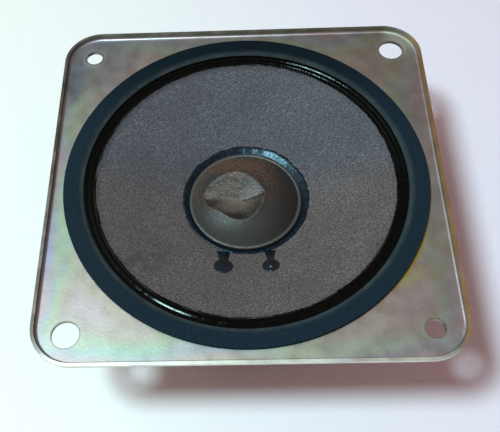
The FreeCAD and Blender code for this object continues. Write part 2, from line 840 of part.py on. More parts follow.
def make_frame_rivets():
    """Four rivets that hold the frame's seat to the top plate."""
    parts = []
    for quarter in range(4):
        angle = 45 + 90 * quarter
        x, y = f"rivet_circle * cos({angle})", f"rivet_circle * sin({angle})"
        parts.append(cylinder_at(f"seat_shank_{quarter}", x, y,
                                 f"{SEAT_TOP} - sheet_gauge - rivet_grip + close_gap",
                                 "rivet_shank / 2 - close_gap / 2", "sheet_gauge + rivet_grip"))
        parts.append(dome_head(f"seat_head_{quarter}", x, y, SEAT_TOP,
                               "rivet_head / 2", "rivet_head_height"))
    return fuse("frame_rivets", parts)


# Terminals ------------------------------------------------------------------------------------

BOARD_LINE = "-(board_inset + rivet_line)"
BOARD_TOP = "(ledge_level + board_gauge)"
BOARD_EDGE = "-(board_inset + board_depth)"
TAG_TOP = "(ledge_level + board_gauge + tag_gauge)"
COIL_LEAD_HOLE = ("coil_tag_offset", "-(board_inset + coil_lead_line)")
INPUT_LEAD_HOLE = ("-tag_spread - input_lead_offset", "-(board_inset + lead_line)")


def tag_list():
    """Name, offset along the board and width of each solder tag."""
    return [
        ("positive_tag", "-tag_spread", "positive_width"),
        ("negative_tag", "tag_spread", "negative_width"),
        ("coil_tag", "coil_tag_offset", "coil_tag_width"),
    ]


def make_board():
    """Phenolic board with holes for the rivets and the capacitor's leads."""
    body = new_body("tag_board")
    outline = new_sketch(body, "board", "XY_Plane", "ledge_level")
    draw_outline(outline, rectangle("-board_width / 2", BOARD_EDGE, "board_width / 2", "-board_inset"))
    for side in ("-", ""):
        draw_circle(outline, f"{side}board_rivet_spread", BOARD_LINE, "tag_rivet_bore")
    for _, offset, _ in tag_list():
        draw_circle(outline, offset, BOARD_LINE, "tag_rivet_bore")
    for u, v in (COIL_LEAD_HOLE, INPUT_LEAD_HOLE):
        draw_circle(outline, u, v, "board_lead_hole")
    pad(body, outline, "board_gauge")
    return body


def make_tag(label, offset, width):
    """A solder tag: a foot on the board, and a blade down over its edge where it has one."""
    body = new_body(label)
    body.setExpression("Placement.Base.x", formula(offset))
    foot = new_sketch(body, f"{label}_foot", "XY_Plane", BOARD_TOP)
    edge = f"{BOARD_EDGE} + coil_tag_setback" if label == "coil_tag" else f"{BOARD_EDGE} - tag_gauge"
    draw_outline(foot, rectangle(f"-{width} / 2", edge, f"{width} / 2", f"{BOARD_LINE} + tag_toe"))
    pad(body, foot, "tag_gauge")
    if label != "coil_tag":
        add_blade(body, width)
    holes = new_sketch(body, f"{label}_holes", "XY_Plane", TAG_TOP)
    draw_circle(holes, "0", BOARD_LINE, "tag_rivet_bore")
    if label != "negative_tag":
        u, v = COIL_LEAD_HOLE if label == "coil_tag" else INPUT_LEAD_HOLE
        draw_circle(holes, f"{u} - ({offset})", v, "tag_lead_hole")
    pocket(body, holes, "tag_gauge")
    return body


def add_blade(body, width):
    """Add a tag's blade, down over the board's edge, with a bevelled tip and a rounded fold."""
    blade = new_sketch(body, f"{body.Name}_blade", "XY_Plane", f"{TAG_TOP} - tag_drop")
    draw_outline(blade, rectangle(f"-{width} / 2", f"{BOARD_EDGE} - tag_gauge",
                                  f"{width} / 2", BOARD_EDGE))
    pad(body, blade, "tag_drop")
    low, top = size(f"{TAG_TOP} - tag_drop"), size(TAG_TOP)
    front, gauge = size(f"{BOARD_EDGE} - tag_gauge"), size("tag_gauge")

    def tip(edge):
        box = edge.BoundBox
        across = abs(box.YLength - gauge) < TOLERANCE and box.XLength < TOLERANCE
        return across and abs(box.ZMax - low) < TOLERANCE

    def fold(edge):
        box = edge.BoundBox
        along = box.XLength > gauge and abs(box.YMax - front) < TOLERANCE
        return along and abs(box.ZMin - top) < TOLERANCE

    blend_edges(body, f"{body.Name}_tip", "tag_gauge", tip, "Chamfer")
    blend_edges(body, f"{body.Name}_fold", "tag_gauge", fold)


def make_rivets(label, offsets, low, high):
    """Hollow rivets through the board at some offsets, headed at both ends."""
    parts, bores = [], []
    for index, offset in enumerate(offsets):
        shank = cylinder_at(f"{label}_shank_{index}", offset, BOARD_LINE, low,
                            "tag_rivet_bore / 2 - close_gap / 2", f"{high} - ({low})")
        head = dome_head(f"{label}_head_{index}", offset, BOARD_LINE, high,
                         "tag_rivet_head", "tag_rivet_head_height")
        foot = cylinder_at(f"{label}_foot_{index}", offset, BOARD_LINE,
                           f"{low} - tag_rivet_foot_height", "tag_rivet_foot", "tag_rivet_foot_height")
        parts += [shank, head, foot]
        bores.append(cylinder_at(f"{label}_bore_{index}", offset, BOARD_LINE, f"{low} - overshoot",
                                 "tag_rivet_bore / 2 - tag_rivet_wall",
                                 f"{high} - ({low}) + 2 * overshoot"))
    return cut(label, fuse(f"{label}_blanks", parts), fuse(f"{label}_bores", bores))


def make_solder():
    """Solder joints: a mound on each tag where a lead comes through or lands."""
    parts = []
    for name, (x, y) in solder_places().items():
        mound = doc.addObject("Part::Sphere", f"solder_{name}")
        bind(mound, Radius="solder_radius", Angle1="0")
        parts.append(place(mound, x, y, TAG_TOP))
    return fuse("solder_joints", parts)


def solder_places():
    """Where each solder mound sits on the tags."""
    return {
        "input": INPUT_LEAD_HOLE,
        "coil": COIL_LEAD_HOLE,
        "return": ("tag_spread", "-(board_inset + lead_line)"),
    }


# Capacitor and leads --------------------------------------------------------------------------

CAN_LINE = "-(magnet_radius + glue_gap + can_radius)"


def make_capacitor():
    """Axial can with a rolled groove, closed by a rubber seal at each end."""
    half = "can_length / 2"
    can = turned_body("capacitor_can", [
        ("0", f"-{half}"),
        ("can_radius - can_crimp", f"-{half}"),
        ("can_radius - can_edge", f"-{half} + close_gap"),
        ("can_radius", f"-{half} + can_edge + close_gap"),
        ("can_radius", f"{half} - groove_setback - groove_width"),
        ("can_radius - groove_depth", f"{half} - groove_setback - groove_width + groove_depth"),
        ("can_radius - groove_depth", f"{half} - groove_setback - groove_depth"),
        ("can_radius", f"{half} - groove_setback"),
        ("can_radius", f"{half} - can_edge"),
        ("can_radius - can_edge", half),
        ("0", half),
    ])
    seals = [cylinder_axial(f"seal_{sign}", sign, "seal_radius", "seal_height") for sign in (-1, 1)]
    bores = [cylinder_axial(f"seal_bore_{sign}", sign, "lead_wire / 2 + close_gap / 2", "overshoot")
             for sign in (-1, 1)]
    can.Placement.Rotation = Rotation(Vector(0, 1, 0), 90)
    place(can, "can_offset", CAN_LINE, "can_level")
    return can, cut("capacitor_seals", fuse("seal_discs", seals), fuse("seal_bores", bores))


def cylinder_axial(name, sign, radius, height):
    """A cylinder that stands out from one end of the capacitor."""
    cylinder = doc.addObject("Part::Cylinder", name)
    cylinder.Placement.Rotation = Rotation(Vector(0, 1, 0), 90 * sign)
    bind(cylinder, Radius=radius, Height=height)
    reach = "(can_length / 2 + close_gap / 2)"
    return place(cylinder, f"can_offset + {sign} * {reach}", CAN_LINE, "can_level")


def make_capacitor_glue():
    """Hot-melt bed that fills the two corners between the can and the magnet."""
    bed = doc.addObject("Part::Box", "glue_bed")
    bind(bed, Length="glue_length", Width="glue_depth", Height="glue_height")
    place(bed, "can_offset - glue_length / 2", "-magnet_radius - glue_depth / 2",
          "can_level - glue_height / 2")
    can_room = doc.addObject("Part::Cylinder", "glue_can_room")
    can_room.Placement.Rotation = Rotation(Vector(0, 1, 0), 90)
    bind(can_room, Radius="can_radius + film_gap", Height="can_length")
    place(can_room, "can_offset - can_length / 2", CAN_LINE, "can_level")
    magnet_room = cylinder_at("glue_magnet_room", "0", "0", "0",
                              "magnet_radius + film_gap", "flange_back")
    return cut("capacitor_glue", bed, fuse("glue_rooms", [can_room, magnet_room]))


def rounded_route(points):
    """Straight runs through points, joined by tangent arcs as large as the runs allow."""
    edges = []
    radii = []
    here = points[0]
    for before, corner, after in zip(points, points[1:], points[2:]):
        way_in, way_out = corner - before, after - corner
        turn_angle = way_in.getAngle(way_out)
        trim = TRIM_SHARE * min(way_in.Length, way_out.Length)
        radii.append(trim / math.tan(turn_angle / 2))
        way_in.normalize()
        way_out.normalize()
        start, end = corner - way_in * trim, corner + way_out * trim
        inward = (way_out - way_in).normalize()
        sag = radii[-1] / math.cos(turn_angle / 2) - radii[-1]
        edges.append(Part.LineSegment(here, start).toShape())
        edges.append(Part.Arc(start, corner + inward * sag, end).toShape())
        here = end
    edges.append(Part.LineSegment(here, points[-1]).toShape())
    return Part.Wire(edges), radii


def make_lead(label, diameter, route):
    """Sweep a round lead along a rounded route, and check its volume."""
    points = [Vector(*point) for point in route]
    wire, radii = rounded_route(points)
    radius = size(diameter) / 2
    section = Part.Wire(Part.Circle(points[0], points[1] - points[0], radius).toShape())
    tube = wire.makePipeShell([section], True, False)
    expected = math.pi * radius * radius * wire.Length
    if abs(tube.Volume - expected) > VOLUME_TOLERANCE * expected:
        raise RuntimeError(f"{label} has the wrong volume")
    print(label, "length", round(wire.Length, 1), "radii", [round(value, 1) for value in radii])
    lead = doc.addObject("Part::Feature", label)
    lead.Shape = tube
    lead.Placement = Placement()
    return lead


def offsets_from(start, *steps):
    """A start and the points at some offsets from it."""
    return [start, *(start + Vector(*step) for step in steps)]


def make_leads():
    """The two flexible pigtails and the capacitor's two stiff leads."""
    tag_top = size(TAG_TOP)
    can_y, can_z = size(CAN_LINE), size("can_level")
    can_left = Vector(size("can_offset - can_length / 2 - close_gap"), can_y, can_z)
    can_right = Vector(size("can_offset + can_length / 2 + close_gap"), can_y, can_z)
    input_x, input_y = (size(text) for text in INPUT_LEAD_HOLE)
    coil_x, coil_y = (size(text) for text in COIL_LEAD_HOLE)
    return_x = size("tag_spread")
    behind = size("-cone_gauge - 2 * eyelet_tail")
    left, right = (eyelet_placement(side, behind).Base for side in EYELET_SIDES)
    pigtail = size("tag_rivet_head")
    board_y = size(BOARD_LINE)
    left_route = offsets_from(left, (0.6, -1.4, -2.1), (2.3, -4.2, -2.9), (4.6, -7.4, -1.6))
    left_route += [(coil_x, board_y + 2.1, tag_top + 2.2), (coil_x, board_y - 0.2, tag_top + pigtail)]
    right_route = offsets_from(right, (0.7, -1.5, -2.0), (1.9, -4.4, -2.8), (3.4, -7.6, -1.6))
    right_route += [(return_x - 0.2, board_y + 2.0, tag_top + 2.3),
                    (return_x, board_y - 0.3, tag_top + pigtail)]
    input_route = offsets_from(can_left, (-1.9, 0, 0), (-2.2, -0.7, 3.4))
    input_route += [(input_x - 0.2, input_y, tag_top - 6.5), (input_x, input_y, tag_top + 0.4)]
    coil_route = offsets_from(can_right, (1.8, 0, 0), (2.0, -0.9, 3.6))
    coil_route += [(coil_x + 0.3, coil_y, tag_top - 6.5), (coil_x, coil_y, tag_top + 0.4)]
    return [
        make_lead("tinsel_lead_left", "tinsel_wire", left_route),
        make_lead("tinsel_lead_right", "tinsel_wire", right_route),
        make_lead("capacitor_lead_input", "lead_wire", input_route),
        make_lead("capacitor_lead_coil", "lead_wire", coil_route),
    ]


# The whole part -------------------------------------------------------------------------------

def check_document():
    """Stop if any object in the document has failed."""
    doc.recompute()
    for item in doc.Objects:
        if {"Invalid", "Error"} & set(item.State):
            raise RuntimeError(f"{item.Name} failed: {item.State}")


def export(parts):
    """Write each sub-part to its own file."""
    os.makedirs("parts", exist_ok=True)
    for part in parts:
        shape = part.Shape
        if shape.isNull() or not shape.isValid():
            raise RuntimeError(f"{part.Label} has no valid shape")
        shape.exportStep(f"parts/{part.Label}.step")
        box = shape.BoundBox
        low = [round(value, 2) for value in (box.XMin, box.YMin, box.ZMin)]
        high = [round(value, 2) for value in (box.XMax, box.YMax, box.ZMax)]
        print(f"{part.Label:22} solids {len(shape.Solids)} volume {shape.Volume:9.2f} {low} {high}")


def main():
    tags = [make_tag(*entry) for entry in tag_list()]
    tag_offsets = [offset for _, offset, _ in tag_list()]
    parts = [
        make_basket(), make_gasket(), make_surround(), make_cone(), make_cap(), make_cap_glue(),
        make_eyelets(), make_dabs(), *make_coil(), make_spider(), make_neck_glue(),
        *make_magnet_assembly(), make_frame_rivets(), make_board(), *tags,
        make_rivets("tag_rivets", tag_offsets, "ledge_level", TAG_TOP),
        make_rivets("board_rivets", ["-board_rivet_spread", "board_rivet_spread"],
                    "ledge_level - sheet_gauge", BOARD_TOP),
        make_solder(), *make_capacitor(), make_capacitor_glue(), *make_leads(),
    ]
    check_document()
    export(parts)


main()
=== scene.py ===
import math

import bmesh
import bpy
from mathutils import Matrix, Vector, noise
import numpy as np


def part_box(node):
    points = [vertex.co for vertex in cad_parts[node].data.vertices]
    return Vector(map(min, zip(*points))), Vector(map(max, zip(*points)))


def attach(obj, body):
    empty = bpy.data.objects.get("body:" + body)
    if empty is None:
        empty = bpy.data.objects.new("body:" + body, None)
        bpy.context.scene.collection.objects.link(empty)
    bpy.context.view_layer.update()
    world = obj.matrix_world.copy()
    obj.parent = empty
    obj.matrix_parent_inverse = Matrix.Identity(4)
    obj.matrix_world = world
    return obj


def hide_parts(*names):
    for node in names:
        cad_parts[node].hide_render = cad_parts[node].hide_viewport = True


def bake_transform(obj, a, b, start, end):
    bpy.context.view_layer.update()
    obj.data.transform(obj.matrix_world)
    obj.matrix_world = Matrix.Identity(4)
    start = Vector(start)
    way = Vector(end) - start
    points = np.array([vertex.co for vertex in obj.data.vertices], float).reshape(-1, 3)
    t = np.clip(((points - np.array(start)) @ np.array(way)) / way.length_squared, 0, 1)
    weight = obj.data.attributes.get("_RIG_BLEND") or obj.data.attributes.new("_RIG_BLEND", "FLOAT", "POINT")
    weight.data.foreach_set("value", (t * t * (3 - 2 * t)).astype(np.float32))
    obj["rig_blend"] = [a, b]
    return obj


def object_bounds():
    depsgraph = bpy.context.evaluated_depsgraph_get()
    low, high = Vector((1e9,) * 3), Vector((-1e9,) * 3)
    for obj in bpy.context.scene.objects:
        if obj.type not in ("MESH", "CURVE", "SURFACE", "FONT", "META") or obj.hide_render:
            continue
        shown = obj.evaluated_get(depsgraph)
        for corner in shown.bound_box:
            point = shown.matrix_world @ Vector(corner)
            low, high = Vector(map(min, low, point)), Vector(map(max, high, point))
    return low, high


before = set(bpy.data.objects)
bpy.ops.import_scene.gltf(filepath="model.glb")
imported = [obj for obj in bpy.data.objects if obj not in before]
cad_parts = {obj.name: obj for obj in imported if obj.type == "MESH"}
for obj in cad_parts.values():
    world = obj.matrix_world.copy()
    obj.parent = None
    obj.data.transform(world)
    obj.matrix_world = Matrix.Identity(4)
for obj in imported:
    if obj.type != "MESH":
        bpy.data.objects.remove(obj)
CAD_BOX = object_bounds()

MM = 0.001
TURNS = 288

LIP_RISE = 1.4 * MM
FLANGE_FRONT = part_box("basket_frame")[1].z - LIP_RISE
FLANGE_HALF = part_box("basket_frame")[1].x

CONE_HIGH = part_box("cone")[1]
CONE_RIM = CONE_HIGH.x
CONE_SLOPE = math.tan(math.radians(25.4))
CONE_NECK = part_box("coil_former")[1].x + 0.1 * MM
CAP_LOW, CAP_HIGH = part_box("dust_cap")

# The camera, as fitted to the photograph: its place from the middle of the flange's face in millimetres,
# where it looks (azimuth, elevation and roll in degrees), its lens in millimetres, and its sideways shift.
CAMERA_PLACE = (-1.24, -106.11, 159.18)
CAMERA_TURN = (-3.16, 59.19, -3.99)
CAMERA_LENS = 53.83
CAMERA_SHIFT = 0.06


# Camera, lights and floor ---------------------

def look(azimuth, elevation, roll):
    """A camera's turn, from where it looks; azimuth 0 looks along +Y, elevation is how far down."""
    azimuth, elevation, roll = (math.radians(value) for value in (azimuth, elevation, roll))
    ahead = Vector((math.sin(azimuth) * math.cos(elevation), math.cos(azimuth) * math.cos(elevation),
                    -math.sin(elevation)))
    across = ahead.cross(Vector((0, 0, 1))).normalized()
    above = across.cross(ahead)
    right = across * math.cos(roll) + above * math.sin(roll)
    up = above * math.cos(roll) - across * math.sin(roll)
    return Matrix((right, up, -ahead)).transposed()


def add_object(name, data):
    """Put a mesh, a curve, a light or a camera into the scene."""
    thing = bpy.data.objects.new(name, data)
    bpy.context.scene.collection.objects.link(thing)
    return thing


def add_camera():
    """Set the camera where the photographer stood, a little in front of the part and above it."""
    camera = add_object("camera", bpy.data.cameras.new("camera"))
    place = Vector(CAMERA_PLACE) * MM + Vector((0, 0, FLANGE_FRONT))
    camera.matrix_world = Matrix.Translation(place) @ look(*CAMERA_TURN).to_4x4()
    camera.data.sensor_width = 36
    camera.data.lens = CAMERA_LENS
    camera.data.shift_x = CAMERA_SHIFT
    camera.data.clip_start = 0.01
    bpy.context.scene.camera = camera


def add_lamp(name, place, size, power, color):
    """A round soft lamp aimed at the part."""
    light = bpy.data.lights.new(name, "AREA")
    light.shape = "DISK"
    light.size = size
    light.energy = power
    light.color = color
    lamp = add_object(name, light)
    lamp.location = place
    lamp.rotation_mode = "QUATERNION"
    lamp.rotation_quaternion = lamp.location.to_track_quat("Z", "Y")


def add_room():
    """A dim warm room, darker towards the far wall."""
    world = bpy.data.worlds.new("room")
    world.use_nodes = True
    nodes, links = world.node_tree.nodes, world.node_tree.links
    direction = nodes.new("ShaderNodeTexCoord").outputs["Generated"]
    split = nodes.new("ShaderNodeSeparateXYZ")
    links.new(direction, split.inputs[0])
    ramp = nodes.new("ShaderNodeValToRGB")
    ramp.color_ramp.elements[0].position = 0.2
    ramp.color_ramp.elements[0].color = (0.38, 0.235, 0.205, 1)
    ramp.color_ramp.elements[1].position = 0.75
    ramp.color_ramp.elements[1].color = (0.20, 0.165, 0.155, 1)
    links.new(split.outputs["Y"], ramp.inputs[0])
    links.new(ramp.outputs[0], nodes["Background"].inputs["Color"])
    bpy.context.scene.world = world
    bpy.context.scene.view_settings.view_transform = "Standard"


def add_floor():
    """A pale table top, a hair below the part, so that the back plate doesn't show through it, with painted
    light across it.
    """
    half, level = 2.0, CAD_BOX[0].z - 0.02 * MM
    corners = [(-half, -half, level), (half, -half, level), (half, half, level), (-half, half, level)]
    floor = add_mesh("floor", corners, [(0, 1, 2, 3)])
    coat = Coat("table", (0.80, 0.80, 0.80), 0.6)
    across = coat.span(coat.axis(0), -0.10, 0.10)
    grain = coat.span(coat.noise(0.004, detail=6), 0.3, 0.7, 0.985, 1.0)
    # Painted light: the tone goes from paler at the left to darker and lavender at the right.
    tone = coat.mix(across, (0.82, 0.82, 0.80), (0.79, 0.73, 0.84))
    coat.feed("Base Color", coat.mix(1.0, tone, coat.grey(grain), "MULTIPLY"))
    paint(floor, coat)


# Meshes ---------------------------------------

def shade_smooth(mesh):
    """Shade every face of a mesh smooth."""
    mesh.polygons.foreach_set("use_smooth", [True] * len(mesh.polygons))


def add_mesh(name, points, faces):
    """Make an object from points and faces, shaded smooth."""
    mesh = bpy.data.meshes.new(name)
    mesh.from_pydata([tuple(point) for point in points], [], faces)
    shade_smooth(mesh)
    mesh.update()
    return add_object(name, mesh)


def face_outwards(piece):
    """Turn every face of a closed mesh to point outwards."""
    work = bmesh.new()
    work.from_mesh(piece.data)
    bmesh.ops.recalc_face_normals(work, faces=work.faces)
    work.to_mesh(piece.data)
    work.free()
    return piece


def turned(name, section, turns=TURNS, shift=None):
    """Turn a closed (radius, level) section about Z; shift(angle, radius, level) may move its points.

    Points on the axis become a single point each.
    """
    points, rows = [], []
    for radius, level in section:
        if radius < 1e-9:
            rows.append([len(points)] * turns)
            points.append((0, 0, level))
            continue
        rows.append(range(len(points), len(points) + turns))
        for step in range(turns):
            angle = 2 * math.pi * step / turns
            r, z = (radius, level) if shift is None else shift(angle, radius, level)
            points.append((r * math.cos(angle), r * math.sin(angle), z))
    faces = []
    for row, following in zip(rows, rows[1:] + rows[:1]):
        for step in range(turns):
            after = (step + 1) % turns
            face = dict.fromkeys((row[step], row[after], following[after], following[step]))
            if len(face) > 2:
                faces.append(tuple(face))
    return face_outwards(add_mesh(name, points, faces))


def band_faces(rings, turns):
    """Faces between each ring of points and the next."""
    return [(row + step, row + (step + 1) % turns, row + turns + (step + 1) % turns, row + turns + step)
            for row in range(0, (rings - 1) * turns, turns) for step in range(turns)]


def steps(start, end, count):
    """Evenly spaced numbers from start up to, but not including, end."""
    return [start + (end - start) * index / count for index in range(count)]


def smooth(share):
    """A smooth rise from 0 to 1."""
    share = min(max(share, 0.0), 1.0)
    return share * share * (3 - 2 * share)


def ripple(angle, radius, size, seed=0.0):
    """Noise from -1 to 1 round a circle, with features about a size across."""
    spot = Vector((radius * math.cos(angle), radius * math.sin(angle), 0)) / size
    return noise.noise(spot + Vector((0, 0, seed)))


# Coats ----------------------------------------

class Coat:
    """A procedural material: a principled shader, and short calls that make what feeds it."""

    def __init__(self, name, color, roughness, **sockets):
        self.material = bpy.data.materials.new(name)
        self.material.use_nodes = True
        self.nodes = self.material.node_tree.nodes
        self.links = self.material.node_tree.links
        self.shader = self.nodes["Principled BSDF"]
        self.shader.inputs["Base Color"].default_value = (*color, 1)
        self.shader.inputs["Roughness"].default_value = roughness
        for socket, value in sockets.items():
            self.shader.inputs[socket.replace("_", " ")].default_value = value
        self.place = self.nodes.new("ShaderNodeTexCoord").outputs["Object"]

    def put(self, socket, value):
        """Give a socket a number, a colour or another node's output."""
        if isinstance(value, bpy.types.NodeSocket):
            self.links.new(value, socket)
        elif isinstance(value, tuple) and len(socket.default_value) == 4:
            socket.default_value = (*value, 1)
        else:
            socket.default_value = value

    def feed(self, name, value):
        """Drive one of the shader's sockets."""
        self.put(self.shader.inputs[name], value)

    def cover(self, share, color):
        """Lay a colour over what the base colour is so far."""
        under = self.shader.inputs["Base Color"].links[0].from_socket
        self.feed("Base Color", self.mix(share, under, color))

    def noise(self, size, detail=3.0, stretch=(1, 1, 1), turn=(0, 0, 0), roughness=0.55):
        """Noise with features about a size across, in metres, stretched along the turned axes."""
        mapping = self.nodes.new("ShaderNodeMapping")
        mapping.inputs["Rotation"].default_value = [math.radians(value) for value in turn]
        mapping.inputs["Scale"].default_value = [1 / (size * value) for value in stretch]
        self.links.new(self.place, mapping.inputs["Vector"])
        texture = self.nodes.new("ShaderNodeTexNoise")
        texture.inputs["Scale"].default_value = 1
        texture.inputs["Detail"].default_value = detail
        texture.inputs["Roughness"].default_value = roughness
        self.links.new(mapping.outputs["Vector"], texture.inputs["Vector"])
        return texture.outputs["Fac"]

    def math(self, operation, first, second=0.0):
        """One arithmetic step."""
        node = self.nodes.new("ShaderNodeMath")
        node.operation = operation
        self.put(node.inputs[0], first)
        self.put(node.inputs[1], second)
        return node.outputs[0]

    def times(self, first, second):
        """The product of two numbers."""
        return self.math("MULTIPLY", first, second)

    def plus(self, first, second):
        """The sum of two numbers."""
        return self.math("ADD", first, second)

    def waves(self, value, pitch):
        """A sine that repeats at a pitch, in metres."""
        return self.math("SINE", self.times(value, 2 * math.pi / pitch))

    def ramp(self, value, *stops):
        """Turn a number into a colour or a grey level by (place, colour) stops."""
        node = self.nodes.new("ShaderNodeValToRGB")
        elements = node.color_ramp.elements
        while len(elements) < len(stops):
            elements.new(0.5)
        for element, (place, color) in zip(elements, stops):
            element.position = place
            element.color = (*color, 1) if isinstance(color, tuple) else (color, color, color, 1)
        self.put(node.inputs[0], value)
        return node.outputs[0]

    def mix(self, share, first, second, blend="MIX"):
        """Mix two colours."""
        node = self.nodes.new("ShaderNodeMix")
        node.data_type = "RGBA"
        node.blend_type = blend
        self.put(node.inputs[0], share)
        self.put(node.inputs[6], first)
        self.put(node.inputs[7], second)
        return node.outputs[2]

    def grey(self, value):
        """A grey of a brightness."""
        node = self.nodes.new("ShaderNodeCombineColor")
        for socket in node.inputs:
            self.put(socket, value)
        return node.outputs[0]

    def axis(self, index):
        """One coordinate of the surface's place, in metres."""
        node = self.nodes.new("ShaderNodeSeparateXYZ")
        self.links.new(self.place, node.inputs[0])
        return node.outputs[index]

    def distance(self, spot, scale=(1, 1, 1)):
        """How far the surface is from a spot, with the axes weighted."""
        weight = self.nodes.new("ShaderNodeVectorMath")
        weight.operation = "MULTIPLY"
        self.links.new(self.place, weight.inputs[0])
        weight.inputs[1].default_value = scale
        node = self.nodes.new("ShaderNodeVectorMath")
        node.operation = "DISTANCE"
        self.links.new(weight.outputs[0], node.inputs[0])
        node.inputs[1].default_value = [a * b for a, b in zip(spot, scale)]
        return node.outputs["Value"]

    def radius(self):
        """How far the surface is from the part's axis."""
        return self.distance((0, 0, 0), (1, 1, 0))

    def patch(self, centre, half, turn):
        """1 in the middle of a soft ellipse and 0 outside it."""
        mapping = self.nodes.new("ShaderNodeMapping")
        mapping.vector_type = "TEXTURE"
        mapping.inputs["Location"].default_value = centre
        mapping.inputs["Rotation"].default_value = (0, 0, math.radians(turn))
        mapping.inputs["Scale"].default_value = half
        self.links.new(self.place, mapping.inputs["Vector"])
        length = self.nodes.new("ShaderNodeVectorMath")
        length.operation = "LENGTH"
        self.links.new(mapping.outputs[0], length.inputs[0])
        return self.span(length.outputs["Value"], 1.0, 0.25)

    def span(self, value, low, high, start=0.0, end=1.0):
        """Map a number's range smoothly to another."""
        node = self.nodes.new("ShaderNodeMapRange")
        node.interpolation_type = "SMOOTHSTEP"
        for socket, number in zip(("Value", "From Min", "From Max", "To Min", "To Max"),
                                  (value, low, high, start, end)):
            self.put(node.inputs[socket], number)
        return node.outputs["Result"]

    def bump(self, height, distance, strength=1.0):
        """Roughen the surface by a height field of a depth in metres, over any earlier one."""
        node = self.nodes.new("ShaderNodeBump")
        node.inputs["Strength"].default_value = strength
        node.inputs["Distance"].default_value = distance
        self.put(node.inputs["Height"], height)
        normal = self.shader.inputs["Normal"]
        if normal.is_linked:
            self.links.new(normal.links[0].from_socket, node.inputs["Normal"])
        self.links.new(node.outputs["Normal"], normal)


def paint(piece, coat):
    """Give a piece a single material."""
    piece.data.materials.clear()
    piece.data.materials.append(coat.material)
    return piece


# Film tints by their place between the flange's edge and FILM_REACH in from it.
FILM_REACH = 0.020
FILM_TINTS = [(0.02, (1.05, 0.96, 1.10)), (0.14, (0.88, 0.98, 1.16)), (0.27, (0.90, 1.12, 0.96)),
              (0.42, (1.02, 1.02, 0.98)), (0.60, (1.04, 0.98, 1.02)), (0.80, (1.04, 0.99, 0.88)),
              (0.95, (1.06, 0.95, 0.92))]

# Film colours on the flange: place and half sizes in millimetres, turn, colour, strength.
FILM_PATCHES = [
    ((-48, -18), (2, 13), 0, (0.33, 0.38, 0.56), 0.9),
    ((-45.4, -15), (2.6, 18), 0, (0.38, 0.52, 0.36), 0.85),
    ((-37, -36), (8, 5), -45, (0.52, 0.47, 0.54), 0.6),
    ((-26, -46.5), (20, 2.6), 0, (0.34, 0.50, 0.42), 0.6),
    ((-46.5, -45), (4, 4), 0, (0.44, 0.46, 0.48), 0.5),
    ((2, -48), (26, 1.8), 0, (0.48, 0.48, 0.32), 0.5),
    ((-47, 36), (5, 14), 0, (0.09, 0.15, 0.18), 0.9),
    ((-46.5, 42), (2.2, 4), 0, (0.34, 0.40, 0.20), 0.7),
    ((-30, 38), (9, 3), 40, (0.55, 0.46, 0.42), 0.7),
    ((-40, 30), (9, 2), 52, (0.36, 0.44, 0.32), 0.7),
    ((0, 48), (22, 1.6), 0, (0.52, 0.42, 0.42), 0.5),
    ((32, 38), (9, 3.5), -45, (0.46, 0.40, 0.36), 0.7),
    ((44, 33), (4, 8), 0, (0.42, 0.42, 0.34), 0.6),
    ((38.6, -29), (3, 5), -40, (0.46, 0.47, 0.20), 0.7),
    ((-40, 40), (15, 15), 0, (0.24, 0.25, 0.33), 0.7),
    ((-46, -4), (4, 18), 0, (0.40, 0.52, 0.42), 0.5),
    ((46.5, -20), (3.5, 16), 0, (0.40, 0.43, 0.30), 0.7),
    ((42, 42), (14, 14), 0, (0.40, 0.36, 0.30), 0.8),
    ((46, 6), (4, 24), 0, (0.44, 0.40, 0.33), 0.5),
    ((37, -36), (8, 6), 45, (0.47, 0.42, 0.48), 0.6),
    ((28, -45.5), (14, 3), 0, (0.40, 0.46, 0.42), 0.6),
]
# The same for the lip's four sides: right, left, far and near. The amber right side is film colour; the pale
# near side is a painted highlight and the dark left and far sides are painted shade.
LIP_FILM_AND_LIGHT_PATCHES = [
    ((50, -4), (5, 120), 0, (0.52, 0.34, 0.10), 1),
    ((-50, 4), (6, 120), 0, (0.11, 0.10, 0.065), 1),
    ((0, 50), (120, 5), 0, (0.17, 0.20, 0.12), 1),
    ((0, -50), (100, 4), 0, (0.76, 0.82, 0.70), 0.9),
]


def screw_holes():
    """Centres and radii of the flange's holes, which are small at the far left and near right."""
    middle = 42 * MM
    return [((x * middle, y * middle, FLANGE_FRONT), (2.25 if x * y < 0 else 3.25) * MM)
            for x in (-1, 1) for y in (-1, 1)]


def film(coat, tone):
    """Tints of a tone that follow one another in from the flange's edge, with some drift."""
    edge = coat.math("MAXIMUM", coat.math("ABSOLUTE", coat.axis(0)),
                     coat.math("ABSOLUTE", coat.axis(1)))
    inward = coat.times(coat.math("SUBTRACT", FLANGE_HALF, edge), 1 / FILM_REACH)
    drift = coat.times(coat.math("SUBTRACT", coat.noise(0.020, 3), 0.5), 0.9)
    stops = [(place, tuple(a * b for a, b in zip(tone, tint))) for place, tint in FILM_TINTS]
    return coat.ramp(coat.plus(inward, drift), *stops)


def film_patches(coat, hue, patches, gate):
    """Lay soft, ragged patches of colour over a tone, as far as a gate is open."""
    for (x, y), (across, along), turn, color, strength in patches:
        spot = coat.patch((x * MM, y * MM, 0), (across * MM, along * MM, 1), turn)
        ragged = coat.span(coat.noise(0.005, 5), 0.25, 0.65, 0.45, 1.0)
        share = coat.times(coat.times(spot, ragged), strength)
        hue = coat.mix(coat.times(share, gate), hue, color)
    return hue


